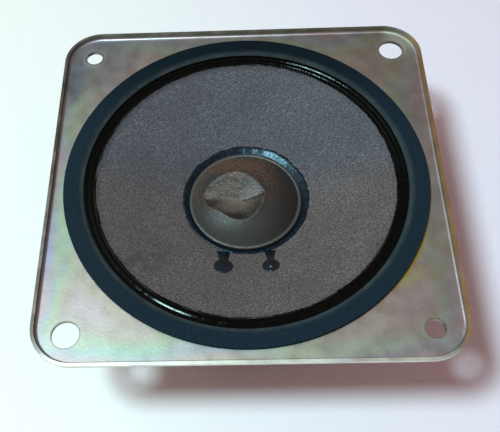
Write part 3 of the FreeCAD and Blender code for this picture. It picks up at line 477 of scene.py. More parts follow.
def hole_rims(coat, hue):
    """Lay a pale ring round each hole, stronger at the far ones, and a dark ring at the hole's edge."""
    for centre, radius in screw_holes():
        away = coat.distance(centre, (1, 1, 0))
        halo = coat.times(coat.span(away, radius + 1.5 * MM, radius + 0.9 * MM),
                          coat.span(away, radius + 0.2 * MM, radius + 0.7 * MM))
        strength = 0.65 if centre[1] > 0 else 0.30
        hue = coat.mix(coat.times(halo, strength), hue, (0.44, 0.48, 0.50))
        dark_edge = coat.span(away, radius + 0.35 * MM, radius + 0.12 * MM, 0.0, 0.6)
        hue = coat.mix(dark_edge, hue, (0.16, 0.14, 0.11))
    return hue


def gasket_stain(coat):
    """Share of the yellow stain beside the gasket at the near right, on the flange's front face only."""
    beside = coat.span(coat.radius(), 47.6 * MM, 46.2 * MM)
    stain = coat.times(beside, coat.patch((39.5 * MM, -24.5 * MM, 0), (8 * MM, 15 * MM, 1), -30))
    on_face = coat.span(coat.axis(2), FLANGE_FRONT - 0.4 * MM, FLANGE_FRONT - 0.1 * MM)
    return coat.times(coat.span(stain, 0.0, 0.5, 0.0, 0.85), on_face)


def plating(name, tone, worn, flange=False):
    """Zinc under thin yellow chromate: satin metal with film colours; the flange has stains too, and a
    painted highlight and painted shade on its lip.
    """
    coat = Coat(name, tone, 0.45, Metallic=1.0)
    hue = film(coat, tone)
    if flange:
        on_lip = coat.span(coat.axis(2), FLANGE_FRONT + 0.25 * MM, FLANGE_FRONT + 0.9 * MM)
        hue = film_patches(coat, hue, FILM_PATCHES, 1.0)
        # Painted light on the lip: a painted highlight on the near side, painted shade on the left and far
        # sides.
        hue = film_patches(coat, hue, LIP_FILM_AND_LIGHT_PATCHES, on_lip)
        hue = hole_rims(coat, hue)
    fine = coat.noise(0.0007, 5)
    dull = coat.span(coat.plus(coat.axis(0), coat.axis(1)), -0.03, 0.03, 0.12, 0.42)
    mottle = coat.times(coat.span(coat.noise(0.0020, 5), 0.42, 0.72), dull)
    hue = coat.mix(mottle, hue, tuple(value * 0.62 for value in tone))
    hue = coat.mix(coat.span(fine, 0.55, 0.8, 0.0, 0.3), hue, worn)
    satin = coat.span(coat.noise(0.004, 5), 0.3, 0.7, 0.38, 0.48)
    if flange:
        hue = coat.mix(gasket_stain(coat), hue, (0.44, 0.41, 0.07))
        dull_corner = coat.patch((47 * MM, 47 * MM, 0), (9 * MM, 9 * MM, 1), 0)
        satin = coat.plus(satin, coat.times(0.25, dull_corner))
    coat.feed("Base Color", hue)
    coat.feed("Roughness", satin)
    coat.bump(fine, 0.00002)
    return coat


def felt():
    """Dense dark blue felt, with painted shade towards the far side and a paler dusty band on its inner
    shoulder.
    """
    coat = Coat("gasket_felt", (0.010, 0.020, 0.030), 0.95, Specular_IOR_Level=0.06)
    fibres = coat.noise(0.00035, 5, roughness=0.7)
    dark = coat.ramp(fibres, (0.3, (0.003, 0.009, 0.015)), (0.75, (0.017, 0.032, 0.046)))
    # Painted shade: the felt darkens towards the far side.
    dark = coat.mix(coat.span(coat.axis(1), 0.01, 0.046, 0.0, 0.85), dark, (0.003, 0.007, 0.010))
    patchy = coat.span(coat.noise(0.006, 4), 0.35, 0.65, 0.50, 1.0)
    band = coat.span(coat.radius(), 43.3 * MM, 41.9 * MM)
    band = coat.times(band, band)
    dust = coat.times(coat.times(band, patchy), 0.60)
    dust = coat.times(dust, coat.span(fibres, 0.3, 0.6, 0.5, 1.0))
    coat.feed("Base Color", coat.mix(dust, dark, (0.060, 0.072, 0.074)))
    coat.bump(fibres, 0.00012)
    return coat


def dope():
    """Glossy black edge dope, brushed on a little unevenly, and rougher at the far right."""
    coat = Coat("edge_dope", (0.002, 0.002, 0.002), 0.10, IOR=1.40, Specular_IOR_Level=0.16,
                  Specular_Tint=(0.80, 1.0, 0.96, 1.0))
    worn = coat.span(coat.noise(0.0012, 4), 0.45, 0.65)
    coat.feed("Roughness", coat.span(worn, 0.0, 1.0, 0.07, 0.22))
    black = coat.ramp(coat.noise(0.0011, 3), (0.35, 0.001), (0.62, 0.002), (0.85, (0.005, 0.004, 0.003)))
    coat.feed("Base Color", black)
    far = coat.span(coat.plus(coat.axis(0), coat.axis(1)), -0.01, 0.03, 0.10, 1.0)
    coat.bump(coat.times(coat.noise(0.0007, 3), far), 0.00005)
    return coat


def pulp():
    """Grey pulp paper: a dark felted body under fine pale fibres that cross, with a few dark specks."""
    coat = Coat("cone_paper", (0.09, 0.085, 0.088), 0.9, Specular_IOR_Level=0.25)
    grain = coat.noise(0.00042, 4, roughness=0.7)
    body = coat.ramp(grain, (0.30, (0.024, 0.021, 0.022)), (0.50, (0.074, 0.068, 0.070)),
                     (0.70, (0.180, 0.168, 0.172)))
    fibres = None
    for turn in (15, 75, 135):
        layer = coat.noise(0.00020, 2, stretch=(7, 1, 1), turn=(0, 0, turn))
        layer = coat.span(layer, 0.60, 0.72)
        fibres = layer if fibres is None else coat.math("MAXIMUM", fibres, layer)
    body = coat.mix(coat.times(fibres, 0.22), body, (0.24, 0.23, 0.24))
    cloud = coat.noise(0.011, 5)
    body = coat.mix(coat.span(cloud, 0.35, 0.65, 0.30, 0.0), body, (0.050, 0.044, 0.046))
    cool = coat.span(coat.axis(1), -4 * MM, 12 * MM)
    tinted = coat.mix(cool, (1.22, 1.10, 1.06), (0.98, 1.10, 1.24))
    body = coat.mix(1.0, body, tinted, "MULTIPLY")
    to_left = coat.span(coat.math("SUBTRACT", coat.axis(0), coat.axis(1)), -0.05, -0.01, 1.0, 0.35)
    rim = coat.times(coat.span(coat.radius(), 36.6 * MM, 38.4 * MM), to_left)
    body = coat.mix(coat.times(rim, 0.6), body, (0.030, 0.027, 0.028))
    stain = coat.patch((-26 * MM, -22 * MM, 0.03), (13 * MM, 7 * MM, 1), 40)
    stain = coat.times(stain, coat.span(coat.noise(0.004, 4), 0.4, 0.6))
    body = coat.mix(coat.times(stain, 0.5), body, (0.045, 0.036, 0.034))
    specks = coat.times(coat.span(coat.noise(0.0011, 1), 0.76, 0.80), 0.75)
    coat.feed("Base Color", coat.mix(specks, body, (0.015, 0.013, 0.013)))
    coat.bump(grain, 0.00007)
    coat.bump(fibres, 0.00003)
    return coat


def cap_tone(coat, grain):
    """Brown speckle, redder in patches, with painted light brighter towards the far side and painted shade
    darker towards the right.
    """
    warm = coat.times(coat.span(coat.noise(0.006, 4), 0.30, 0.60),
                      coat.span(coat.axis(1), -9 * MM, 3 * MM, 0.25, 1.0))
    dark = coat.mix(warm, (0.010, 0.009, 0.007), (0.020, 0.009, 0.004))
    pale = coat.mix(warm, (0.040, 0.039, 0.037), (0.096, 0.054, 0.034))
    hue = coat.mix(coat.span(grain, 0.40, 0.64), dark, pale)
    # Painted light and shade: brighter towards the far side, darker towards the right.
    light = coat.span(coat.axis(1), -10 * MM, 12 * MM, 0.40, 1.35)
    side = coat.span(coat.axis(0), 2 * MM, 13 * MM, 1.0, 0.25)
    return coat.mix(1.0, hue, coat.grey(coat.times(light, side)), "MULTIPLY")


def cap_paper():
    """Brown lacquered paper: dark and speckled, with a grey shine round the dent, a painted highlight below
    it, painted shade along its fold, and a pale brim.
    """
    coat = Coat("cap_paper", (0.02, 0.013, 0.009), 0.42, Specular_IOR_Level=0.60)
    grain = coat.noise(0.00038, 4, roughness=0.7)
    hue = cap_tone(coat, grain)
    # Painted highlight: a paler patch just below the dent.
    painted_sheen_below_dent = coat.patch((-2.8 * MM, -3.4 * MM, 0), (7.5 * MM, 3.4 * MM, 1), 8)
    hue = coat.mix(coat.times(painted_sheen_below_dent, 0.8), hue, (0.095, 0.070, 0.056))
    # Painted shade: a dark line along the dent's fold.
    crease = coat.patch((1.4 * MM, -1.5 * MM, 0), (3.6 * MM, 0.45 * MM, 1), 14)
    hue = coat.mix(coat.times(crease, 0.9), hue, (0.008, 0.005, 0.004))
    radius = coat.radius()
    brim_start, brim_full = 14.0 * MM, 14.2 * MM
    brim = coat.span(radius, brim_start, brim_full, 0.0, 0.7)
    coat.feed("Base Color", coat.mix(brim, hue, (0.055, 0.058, 0.054)))
    away = coat.distance((-3.5 * MM, -0.8 * MM, 0), (1, 1, 0))
    dull = coat.times(coat.span(away, 6.5 * MM, 11 * MM, 0.0, 0.34),
                      coat.span(radius, brim_start, brim_full, 1.0, 0.0))
    coat.feed("Roughness", coat.plus(coat.span(grain, 0.35, 0.65, 0.27, 0.43), dull))
    coat.bump(grain, 0.00013)
    return coat


def cement():
    """Blue-black cured cement, lumpy: satin round the cap, greyer and a little glossier on the dabs."""
    coat = Coat("black_cement", (0.006, 0.012, 0.020), 0.3, IOR=1.42,
                  Specular_Tint=(0.52, 0.80, 1.0, 1.0))
    mottle = coat.noise(0.0008, 5, roughness=0.7)
    tone = coat.ramp(mottle, (0.35, (0.001, 0.002, 0.004)), (0.75, (0.008, 0.015, 0.024)))
    on_dabs = coat.span(coat.radius(), 18 * MM, 19 * MM)
    coat.feed("Base Color", coat.mix(coat.times(on_dabs, 0.7), tone, (0.014, 0.015, 0.017)))
    satin = coat.span(on_dabs, 0.0, 1.0, 0.10, 0.06)
    coat.feed("Roughness", coat.plus(coat.span(mottle, 0.35, 0.7, 0.14, 0.28), satin))
    coat.bump(coat.noise(0.0009, 4), 0.00008)
    return coat


def grained(name, dark, pale, roughness, size, depth, **sockets):
    """A coat whose tone, roughness and surface follow one fine grain."""
    coat = Coat(name, pale, roughness, **sockets)
    grain = coat.noise(size, 5, roughness=0.65)
    broad = coat.noise(size * 9, 4)
    tone = coat.span(coat.plus(coat.times(grain, 0.7), coat.times(broad, 0.3)), 0.36, 0.64)
    coat.feed("Base Color", coat.mix(tone, dark, pale))
    coat.feed("Roughness", coat.span(grain, 0.3, 0.7, roughness * 0.8, roughness * 1.2))
    coat.bump(grain, depth)
    return coat


def metal(name, dark, pale, roughness, size, depth):
    """A bare metal with one fine grain."""
    return grained(name, dark, pale, roughness, size, depth, Metallic=1.0)


def turned_steel():
    """Zinc and yellow chromate over steel plates, with faint lathe rings."""
    coat = plating("plate_plating", (0.46, 0.42, 0.30), (0.62, 0.60, 0.52))
    coat.bump(coat.waves(coat.radius(), 0.35 * MM), 0.000006)
    return coat


def ferrite():
    """Dark grey sintered ceramic with grinding marks and pale chips."""
    coat = grained("ferrite", (0.018, 0.018, 0.020), (0.050, 0.050, 0.053), 0.5, 0.4 * MM, 0.00002)
    chips = coat.span(coat.noise(1.6 * MM, 2), 0.74, 0.78)
    coat.bump(chips, 0.00008)
    return coat


def phenolic():
    """Brown laminated paper board, with fibres and a resin shine."""
    coat = grained("phenolic", (0.085, 0.034, 0.014), (0.19, 0.085, 0.036), 0.35, 0.5 * MM, 0.00001)
    fibres = coat.noise(0.25 * MM, 3, stretch=(10, 1, 1))
    coat.bump(coat.span(fibres, 0.55, 0.75), 0.000015)
    return coat


def tinned_brass():
    """Tin over brass, dulled, with brass showing through where it is rubbed."""
    coat = metal("tinned_brass", (0.50, 0.48, 0.43), (0.62, 0.60, 0.54), 0.36, 0.3 * MM, 0.000005)
    rubbed = coat.span(coat.noise(1.8 * MM, 4), 0.60, 0.70, 0.0, 0.7)
    coat.cover(rubbed, (0.72, 0.52, 0.24))
    drawn = coat.noise(0.15 * MM, 2, stretch=(1, 30, 1))
    coat.bump(drawn, 0.000008)
    return coat


def copper_winding():
    """Fine enamelled copper wire, turn beside turn."""
    coat = grained("coil_copper", (0.48, 0.13, 0.045), (0.80, 0.28, 0.11), 0.28, 0.6 * MM, 0.000004,
                   Metallic=0.9)
    turns = coat.waves(coat.axis(2), 0.18 * MM)
    coat.bump(coat.math("ABSOLUTE", turns), 0.00003)
    return coat


def kraft():
    """Brown former paper with long fibres."""
    coat = grained("former_paper", (0.20, 0.11, 0.05), (0.36, 0.22, 0.11), 0.75, 0.4 * MM, 0.00002)
    fibres = coat.noise(0.15 * MM, 2, stretch=(1, 1, 12))
    coat.bump(fibres, 0.00001)
    return coat


def spider_cloth():
    """Open cotton weave stiffened with amber resin."""
    coat = Coat("spider_cloth", (0.42, 0.25, 0.08), 0.6)
    pitch = 0.62 * MM
    across = coat.waves(coat.axis(0), pitch)
    along = coat.waves(coat.axis(1), pitch)
    weave = coat.times(across, along)
    threads = coat.math("MAXIMUM", coat.math("ABSOLUTE", across), coat.math("ABSOLUTE", along))
    resin = coat.noise(2.5 * MM, 4)
    tone = coat.ramp(resin, (0.3, (0.24, 0.12, 0.03)), (0.7, (0.46, 0.29, 0.10)))
    coat.feed("Base Color", coat.mix(coat.span(threads, 0.2, 0.75), (0.10, 0.05, 0.015), tone))
    coat.feed("Roughness", coat.span(resin, 0.3, 0.7, 0.42, 0.68))
    coat.bump(weave, 0.00006)
    coat.bump(threads, 0.00008)
    return coat


def tinsel_braid():
    """Tinned copper tinsel wound round cotton, with a coppery tint in the gaps."""
    coat = metal("tinsel_braid", (0.50, 0.30, 0.18), (0.80, 0.62, 0.48), 0.35, 0.3 * MM, 0.00001)
    foil = coat.noise(0.10 * MM, 2, stretch=(1, 1, 3), turn=(35, 20, 0))
    coat.bump(foil, 0.00002)
    return coat


def shrink_sleeve():
    """Dark blue heat-shrunk film with faint ripples and dust."""
    coat = grained("can_sleeve", (0.010, 0.030, 0.085), (0.020, 0.055, 0.14), 0.3, 0.8 * MM, 0.00001)
    ripples = coat.noise(1.4 * MM, 2, stretch=(0.5, 2, 2))
    coat.bump(ripples, 0.00006)
    dust = coat.span(coat.noise(0.3 * MM, 5), 0.60, 0.75, 0.0, 0.35)
    coat.cover(dust, (0.20, 0.20, 0.20))
    return coat


# Pieces ---------------------------------------

def cone_front(radius):
    """Level of the cone's front face at a radius."""
    return CONE_HIGH.z - (CONE_RIM - radius) * CONE_SLOPE


def make_gasket(coat):
    """Felt ring: flat top, soft edges and a bevelled inner shoulder."""
    low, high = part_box("front_gasket")
    outer, top = high.x, high.z
    base = low.z + 0.3 * MM
    flat_end, bevel_end = 43.3 * MM, 41.50 * MM
    section = [(42.8 * MM, base), (outer - 0.1 * MM, base), (outer, base + 0.1 * MM),
               (outer, top - 0.15 * MM), (outer - 0.05 * MM, top - 0.04 * MM), (outer - 0.18 * MM, top)]
    section += [(radius, top) for radius in steps(outer - 0.4 * MM, flat_end, 10)]
    section += [(radius, top - 0.66 * MM * smooth((43.0 * MM - radius) / (1.55 * MM)))
                for radius in steps(flat_end, bevel_end, 10)]
    section += [(41.38 * MM, low.z + 0.26 * MM), (41.32 * MM, low.z + 0.15 * MM),
                (41.36 * MM, low.z + 0.04 * MM)]

    def shift(angle, radius, level):
        uneven = 0.05 * MM * ripple(angle, radius, 4 * MM, 1.0)
        edge = 0.06 * MM * ripple(angle, radius, 1.5 * MM, 2.0) if radius > outer - 0.2 * MM else 0.0
        return radius + edge * 0.5, level + (uneven if level > base + 0.3 * MM else 0.0)

    gasket = turned("felt_gasket", section, shift=shift)
    paint(gasket, coat)
    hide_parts("front_gasket")
    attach(gasket, "chassis")


# Ridges and valleys of the doped edge: radius, and level above the middle of the rolls, in millimetres.
EDGE_WAVES = [(38.30, -0.22), (38.60, -0.19), (39.10, -0.23), (39.62, -0.05), (40.35, -0.215),
              (40.98, 0.05), (41.30, 0.03), (41.75, 0.22), (42.90, 0.52), (46.00, 0.525)]


def surround_top(radius):
    """Level of the doped edge's top, smooth from one ridge or valley to the next."""
    middle = FLANGE_FRONT - 0.275 * MM
    for (start, low), (end, high) in zip(EDGE_WAVES, EDGE_WAVES[1:]):
        if radius <= end * MM:
            share = (radius / MM - start) / (end - start)
            return middle + (low + (high - low) * (0.5 - 0.5 * math.cos(math.pi * share))) * MM
    return middle + EDGE_WAVES[-1][1] * MM


def make_surround(coat):
    """The doped edge, which flexes between the cone and the flange; lumpier at the far right."""
    gauge = 0.25 * MM
    inner, outer = EDGE_WAVES[0][0] * MM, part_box("surround")[1].x
    radii = steps(inner, 41.4 * MM, 62) + steps(41.4 * MM, 43 * MM, 6) + [43 * MM, outer]
    section = [(radius, surround_top(radius)) for radius in radii]
    section += [(radius, surround_top(radius) - gauge) for radius in reversed(radii)]

    def shift(angle, radius, level):
        ragged = 0.14 * MM * ripple(angle, inner, 0.9 * MM, 3.0)
        ragged += 0.16 * MM * ripple(angle, inner, 3 * MM, 4.0)
        ragged *= 1 - smooth((radius - inner) / (0.4 * MM))
        broken = 0.25 + 0.75 * smooth(0.5 + 0.6 * math.cos(angle - math.radians(50)))
        lumps = 0.016 * MM * ripple(angle, radius, 2.5 * MM, 5.0)
        lumps += 0.010 * MM * ripple(angle, radius, 0.8 * MM, 6.0)
        return radius + ragged, level + lumps * broken * (1 - smooth((radius - 41.2 * MM) / (0.5 * MM)))

    edge = turned("doped_edge", section, turns=2 * TURNS, shift=shift)
    paint(edge, coat)
    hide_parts("surround")
    blend_radially(edge, CONE_RIM, 41.4 * MM)


def blend_radially(piece, inner, outer):
    """Let a ring follow the diaphragm inside one radius and the chassis outside another."""
    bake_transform(piece, "diaphragm", "chassis", start=(inner, 0, 0), end=(outer, 0, 0))
    weights = piece.data.attributes["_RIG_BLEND"].data
    for vertex, weight in zip(piece.data.vertices, weights):
        radius = math.hypot(vertex.co.x, vertex.co.y)
        weight.value = smooth((radius - inner) / (outer - inner))


def make_cone(coat):
    """Straight paper cone, a touch uneven."""
    gauge = 0.4 * MM / math.cos(math.atan(CONE_SLOPE))
    rim = CONE_RIM + 0.2 * MM
    radii = steps(CONE_NECK, rim, 64) + [rim]
    section = [(radius, cone_front(radius)) for radius in radii]
    section += [(radius, cone_front(radius) - gauge) for radius in reversed(radii)]

    def shift(angle, radius, level):
        uneven = 0.06 * ripple(angle, radius, 9 * MM, 7.0) + 0.02 * ripple(angle, radius, 2.5 * MM, 8.0)
        return radius, level + uneven * MM

    cone = turned("paper_cone", section, shift=shift)
    paint(cone, coat)
    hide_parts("cone")
    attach(cone, "diaphragm")


# The dent, seen from above, in millimetres: its outline, the fold across it, and the fold's depths.
DENT_RIM = [(-11.1, 0.2), (-10.1, 3.2), (-7.6, 5.3), (-4.8, 6.4), (-1.8, 6.65), (0.6, 5.6), (2.2, 4.0),
            (4.0, 2.0), (5.1, -0.45), (4.6, -3.6), (3.0, -6.1), (1.2, -7.8), (-0.9, -8.4), (-2.8, -8.1),
            (-4.3, -7.4), (-7.6, -5.0), (-10.5, -2.9)]
DENT_FOLD = [(-10.4, -0.9), (-8.2, -1.0), (-6.0, -1.3), (-3.6, -1.8), (-1.4, -2.0), (0.4, -1.8),
             (2.4, -1.2), (4.6, -0.5)]
DENT_DEPTHS = [0.5, 1.1, 1.6, 1.9, 2.0, 1.8, 1.3, 0.4]
# The ridge round it and the crease along the fold, by height and width, and the depth of its crinkles.
RIDGE, RIDGE_WIDTH = 0.16, 0.90
CREASE, CREASE_WIDTH = 0.12, 0.25
CRINKLE = 0.30

# Outside of the cap's rolled brim, in millimetres: how far in from its edge, and how far above it.
BRIM = [(0.04, 0.0), (0.12, 0.10), (0.25, 0.19), (0.42, 0.24), (0.60, 0.26), (0.76, 0.24), (0.88, 0.15),
        (0.95, 0.12)]


def nearest_on(path, spot, closed=False):
    """Distance from a spot to a path, and how far along the path the nearest place is, in runs."""
    best, place = 1e9, 0.0
    pairs = list(zip(path, path[1:] + path[:1] if closed else path[1:]))
    for index, (start, end) in enumerate(pairs):
        start, end = Vector(start), Vector(end)
        run = end - start
        share = min(max((spot - start).dot(run) / run.length_squared, 0.0), 1.0)
        gap = (spot - start - run * share).length
        if gap < best:
            best, place = gap, index + share
    return best, place


def inside(path, spot):
    """Whether a spot lies inside a closed path."""
    crossings = 0
    for (x0, y0), (x1, y1) in zip(path, path[1:] + path[:1]):
        if (y0 > spot.y) != (y1 > spot.y) and spot.x < x0 + (spot.y - y0) / (y1 - y0) * (x1 - x0):
            crossings += 1
    return crossings % 2 == 1


def dent_drop(x, y):
    """How far the dent lies below the dome at a place: two flats that meet in a fold."""
    spot = Vector((x, y)) / MM
    rim_gap = nearest_on(DENT_RIM, spot, closed=True)[0]
    ridge = RIDGE * math.exp(-((rim_gap / RIDGE_WIDTH) ** 2))
    if not inside(DENT_RIM, spot):
        return -ridge * MM
    fold_gap, place = nearest_on(DENT_FOLD, spot)
    index = min(int(place), len(DENT_DEPTHS) - 2)
    depth = DENT_DEPTHS[index] + (DENT_DEPTHS[index + 1] - DENT_DEPTHS[index]) * (place - index)
    share = math.sin(math.pi / 2 * rim_gap / (rim_gap + fold_gap))
    crinkle = CRINKLE * share * (1.1 - share) * abs(noise.noise(Vector((x, y, 3 * MM)) / (1.8 * MM)))
    crease = CREASE * math.exp(-((fold_gap / CREASE_WIDTH) ** 2)) * smooth((spot.x + 2) / 3)
    return (depth * share - crinkle + crease - ridge) * MM


def make_cap(coat):
    """Pressed paper dome with a rolled brim, pushed in at one side."""
    radius, base, gauge = CAP_HIGH.x, CAP_LOW.z, 0.4 * MM
    dome = radius - 0.8 * MM
    rise = CAP_HIGH.z - base - gauge
    ball = (dome * dome + rise * rise) / (2 * rise)

    def dome_level(r):
        return base + gauge + math.sqrt(ball * ball - r * r) - (ball - rise)

    radii = steps(dome - 0.25 * MM, 0, 72) + [0]
    brim = base + gauge
    section = [(radius - 0.02 * MM, base + 0.08 * MM), (radius, base + 0.2 * MM)]
    section += [(radius - inset * MM, brim + lift * MM) for inset, lift in BRIM]
    section += [(r, dome_level(r)) for r in radii]
    section += [(r, dome_level(r) - gauge) for r in reversed(radii[1:])]
    section += [(dome, base), (radius - 0.1 * MM, base)]

    cap = turned("dented_cap", section)
    for vertex in cap.data.vertices:
        x, y, z = vertex.co
        if math.hypot(x, y) < dome - 0.3 * MM:
            uneven = 0.04 * MM * noise.noise(Vector((x, y, 9 * MM)) / (3 * MM))
            vertex.co.z = z - dent_drop(x, y) + uneven
    paint(cap, coat)
    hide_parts("dust_cap")
    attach(cap, "diaphragm")


def make_bead(coat):
    """Ring of cement round the cap, wider on the far side, with a ragged outer edge."""
    brim = CAP_HIGH.x
    inner, outer = brim - 0.10 * MM, 16.75 * MM
    thickness = 0.36 * MM
    section = []
    for share in steps(0, 1, 18) + [1]:
        radius = inner + (outer - inner) * share
        swell = 1 - abs(2 * share - 1) ** 3.5
        start = 0.22 * MM * (1 - smooth(share / 0.25))
        section.append((radius, cone_front(radius) + 0.02 * MM + start + thickness * swell))
    section += [(outer, cone_front(outer) - 0.1 * MM), (inner, cone_front(inner) - 0.1 * MM)]

    def shift(angle, radius, level):
        share = max(radius - brim, 0.0) / (outer - brim)
        wide = 0.15 + 0.50 * math.cos(angle - math.radians(70))
        wide += 0.15 * ripple(angle, brim, 5 * MM, 11.0)
        ragged = 0.22 * ripple(angle, outer, 0.8 * MM, 12.0)
        ragged += 0.22 * ripple(angle, outer, 2.4 * MM, 14.0)
        moved = radius + (share * wide + share ** 6 * ragged) * MM
        lumps = 0.08 * MM * ripple(angle, radius, 2.2 * MM, 13.0) * math.sin(math.pi * min(share, 1.0))
        return moved, level + (cone_front(moved) - cone_front(radius)) * share + lumps

    bead = turned("cap_bead", section, turns=2 * TURNS, shift=shift)
    paint(bead, coat)
    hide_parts("cap_glue")
    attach(bead, "diaphragm")


def middle_of(node, keep):
    """Middle of the part of a node's mesh that passes a test."""
    spots = [vertex.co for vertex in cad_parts[node].data.vertices if keep(vertex.co)]
    low = Vector(map(min, zip(*spots)))
    high = Vector(map(max, zip(*spots)))
    return (low + high) / 2


def neck_reach(lean, width):
    """How far a neck reaches in a direction that leans from its own. It flares towards its end."""
    length, flare, widest_lean = 5.6 * MM, 0.9, 1.2
    if lean > widest_lean:
        return 0.0
    reach = length
    for _ in range(6):
        along = min(reach * math.cos(lean) / length, 1.0)
        reach = min(width * (1 + flare * along ** 3) / max(math.sin(lean), 1e-3), length / math.cos(lean))
    return reach


def add_underside(piece, depth):
    """Close an open sheet with a skirt of a depth and a face below."""
    work = bmesh.new()
    work.from_mesh(piece.data)
    bmesh.ops.remove_doubles(work, verts=work.verts, dist=1e-7)
    rim = [edge for edge in work.edges if edge.is_boundary]
    grown = bmesh.ops.extrude_edge_only(work, edges=rim)["geom"]
    for vertex in grown:
        if isinstance(vertex, bmesh.types.BMVert):
            vertex.co.z -= depth
    bmesh.ops.contextual_create(work, geom=[edge for edge in work.edges if edge.is_boundary])
    bmesh.ops.recalc_face_normals(work, faces=work.faces)
    work.to_mesh(piece.data)
    work.free()
    shade_smooth(piece.data)


def make_dab(name, side, reach, neck, bump, coat):
    """A dab of cement over one eyelet, with a neck that runs to the bead round the cap."""
    middle = middle_of("lead_eyelets", lambda spot: spot.x * side > 0)
    turns, rings = 144, 24
    thickness, bump_width, skirt = 0.42 * MM, 0.95 * MM, 0.2 * MM
    points = []
    for ring in range(rings + 1):
        share = ring / rings
        for step in range(turns):
            angle = 2 * math.pi * step / turns
            lean = abs((angle - math.pi / 2 + math.pi) % (2 * math.pi) - math.pi)
            blob = reach * (1 + 0.06 * ripple(angle, reach, 2 * MM, 20.0 + side))
            away = share * (blob ** 8 + neck_reach(lean, neck) ** 8) ** 0.125
            x = middle.x + away * math.cos(angle)
            y = middle.y + away * math.sin(angle)
            height = thickness * math.sqrt(max(1 - share ** 5, 0.0))
            height += bump * math.exp(-((away / bump_width) ** 4))
            points.append((x, y, cone_front(math.hypot(x, y)) + height))
    dab = add_mesh(name, points, band_faces(rings + 1, turns))
    add_underside(dab, skirt)
    paint(dab, coat)
    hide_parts("lead_dabs")
    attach(dab, "diaphragm")


def make_spider(coat):
    """Corrugated cloth disc that centres the coil."""
    low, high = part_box("spider")
    middle = (low.z + high.z) / 2
    half, rise, pitch, start = 0.15 * MM, 0.6 * MM, 1.3 * MM, 14.2 * MM
    corrugations = 8
    end = start + corrugations * pitch

    def level(radius):
        if not start < radius < end:
            return middle
        return middle + rise * math.sin(math.pi * (radius - start) / pitch)

    radii = [12.95 * MM] + steps(13.4 * MM, start, 3) + steps(start, end, 120)
    radii += steps(end, high.x, 8) + [high.x]
    section = [(radius, level(radius) + half) for radius in radii]
    section += [(radius, level(radius) - half) for radius in reversed(radii)]
    disc = turned("centring_disc", section)
    paint(disc, coat)
    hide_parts("spider")
    blend_radially(disc, 13.9 * MM, 27 * MM)


def make_neck_fillet(coat):
    """Uneven fillet of amber cement where the disc meets the coil's neck."""
    low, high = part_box("neck_glue")
    inner, outer = 12.84 * MM, high.x
    width, height = outer - inner, high.z - low.z
    section = [(inner, low.z), (outer, low.z)]
    section += [(inner + width * (1 - share), low.z + height * (0.15 + 0.8 * share ** 1.6))
                for share in steps(0, 1, 12) + [1]]

    def shift(angle, radius, level):
        share = (level - low.z) / height
        return radius, low.z + (level - low.z) * (1 + 0.05 * share * ripple(angle, inner, 2 * MM, 15.0))

    fillet = turned("neck_fillet", section, shift=shift)
    paint(fillet, coat)
    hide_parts("neck_glue")
    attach(fillet, "diaphragm")


def spline_points(route):
    """Points along the smooth curve that a route's points control."""
    curve = bpy.data.curves.new("route", "CURVE")
    curve.dimensions = "3D"
    spline = curve.splines.new("NURBS")
    spline.points.add(len(route) - 1)
    for point, place in zip(spline.points, route):
        point.co = (*(Vector(place) * MM), 1)
    spline.order_u = 3
    spline.use_endpoint_u = True
    spline.resolution_u = 24
    guide = add_object("route", curve)
    mesh = bpy.data.meshes.new_from_object(guide)
    points = [vertex.co.copy() for vertex in mesh.vertices]
    bpy.data.objects.remove(guide)
    bpy.data.curves.remove(curve)
    bpy.data.meshes.remove(mesh)
    return points


def frames_along(points):
    """Two crosswise directions at each point of a line, carried along it without twist."""
    ahead = [(after - before).normalized() for before, after in
             zip([points[0]] + points[:-1], points[1:] + [points[-1]])]
    side = ahead[0].orthogonal().normalized()
    frames = []
    for way in ahead:
        side = (side - way * side.dot(way)).normalized()
        frames.append((side, way.cross(side)))
    return frames


def tube(points, radius, sides=8):
    """Points and faces of a closed tube round a line."""
    ring = []
    for point, (side, over) in zip(points, frames_along(points)):
        ring += [point + (side * math.cos(turn) + over * math.sin(turn)) * radius
                 for turn in steps(0, 2 * math.pi, sides)]
    ends = [tuple(range(sides))[::-1], tuple(range(len(ring) - sides, len(ring)))]
    return ring, ends + band_faces(len(points), sides)


def make_pigtail(name, node, route, coat):
    """Flexible lead of eight braided strands."""
    points = spline_points(route)
    frames = frames_along(points)
    travelled = [0.0]
    for before, after in zip(points, points[1:]):
        travelled.append(travelled[-1] + (after - before).length)
    verts, faces = [], []
    for strand in range(8):
        way = 1 if strand % 2 else -1
        line = []
        for point, (side, over), length in zip(points, frames, travelled):
            turn = way * 2 * math.pi * length / (3.2 * MM) + math.pi / 4 * strand
            reach = 0.29 * MM + 0.06 * MM * math.cos(4 * turn + math.pi * strand / 2)
            line.append(point + (side * math.cos(turn) + over * math.sin(turn)) * reach)
        ring, sides = tube(line, 0.105 * MM)
        faces += [tuple(len(verts) + corner for corner in face) for face in sides]
        verts += ring
    lead = face_outwards(add_mesh(name, verts, faces))
    paint(lead, coat)
    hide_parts(node)
    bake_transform(lead, "diaphragm", "chassis", start=tuple(points[0]), end=tuple(points[-1]))


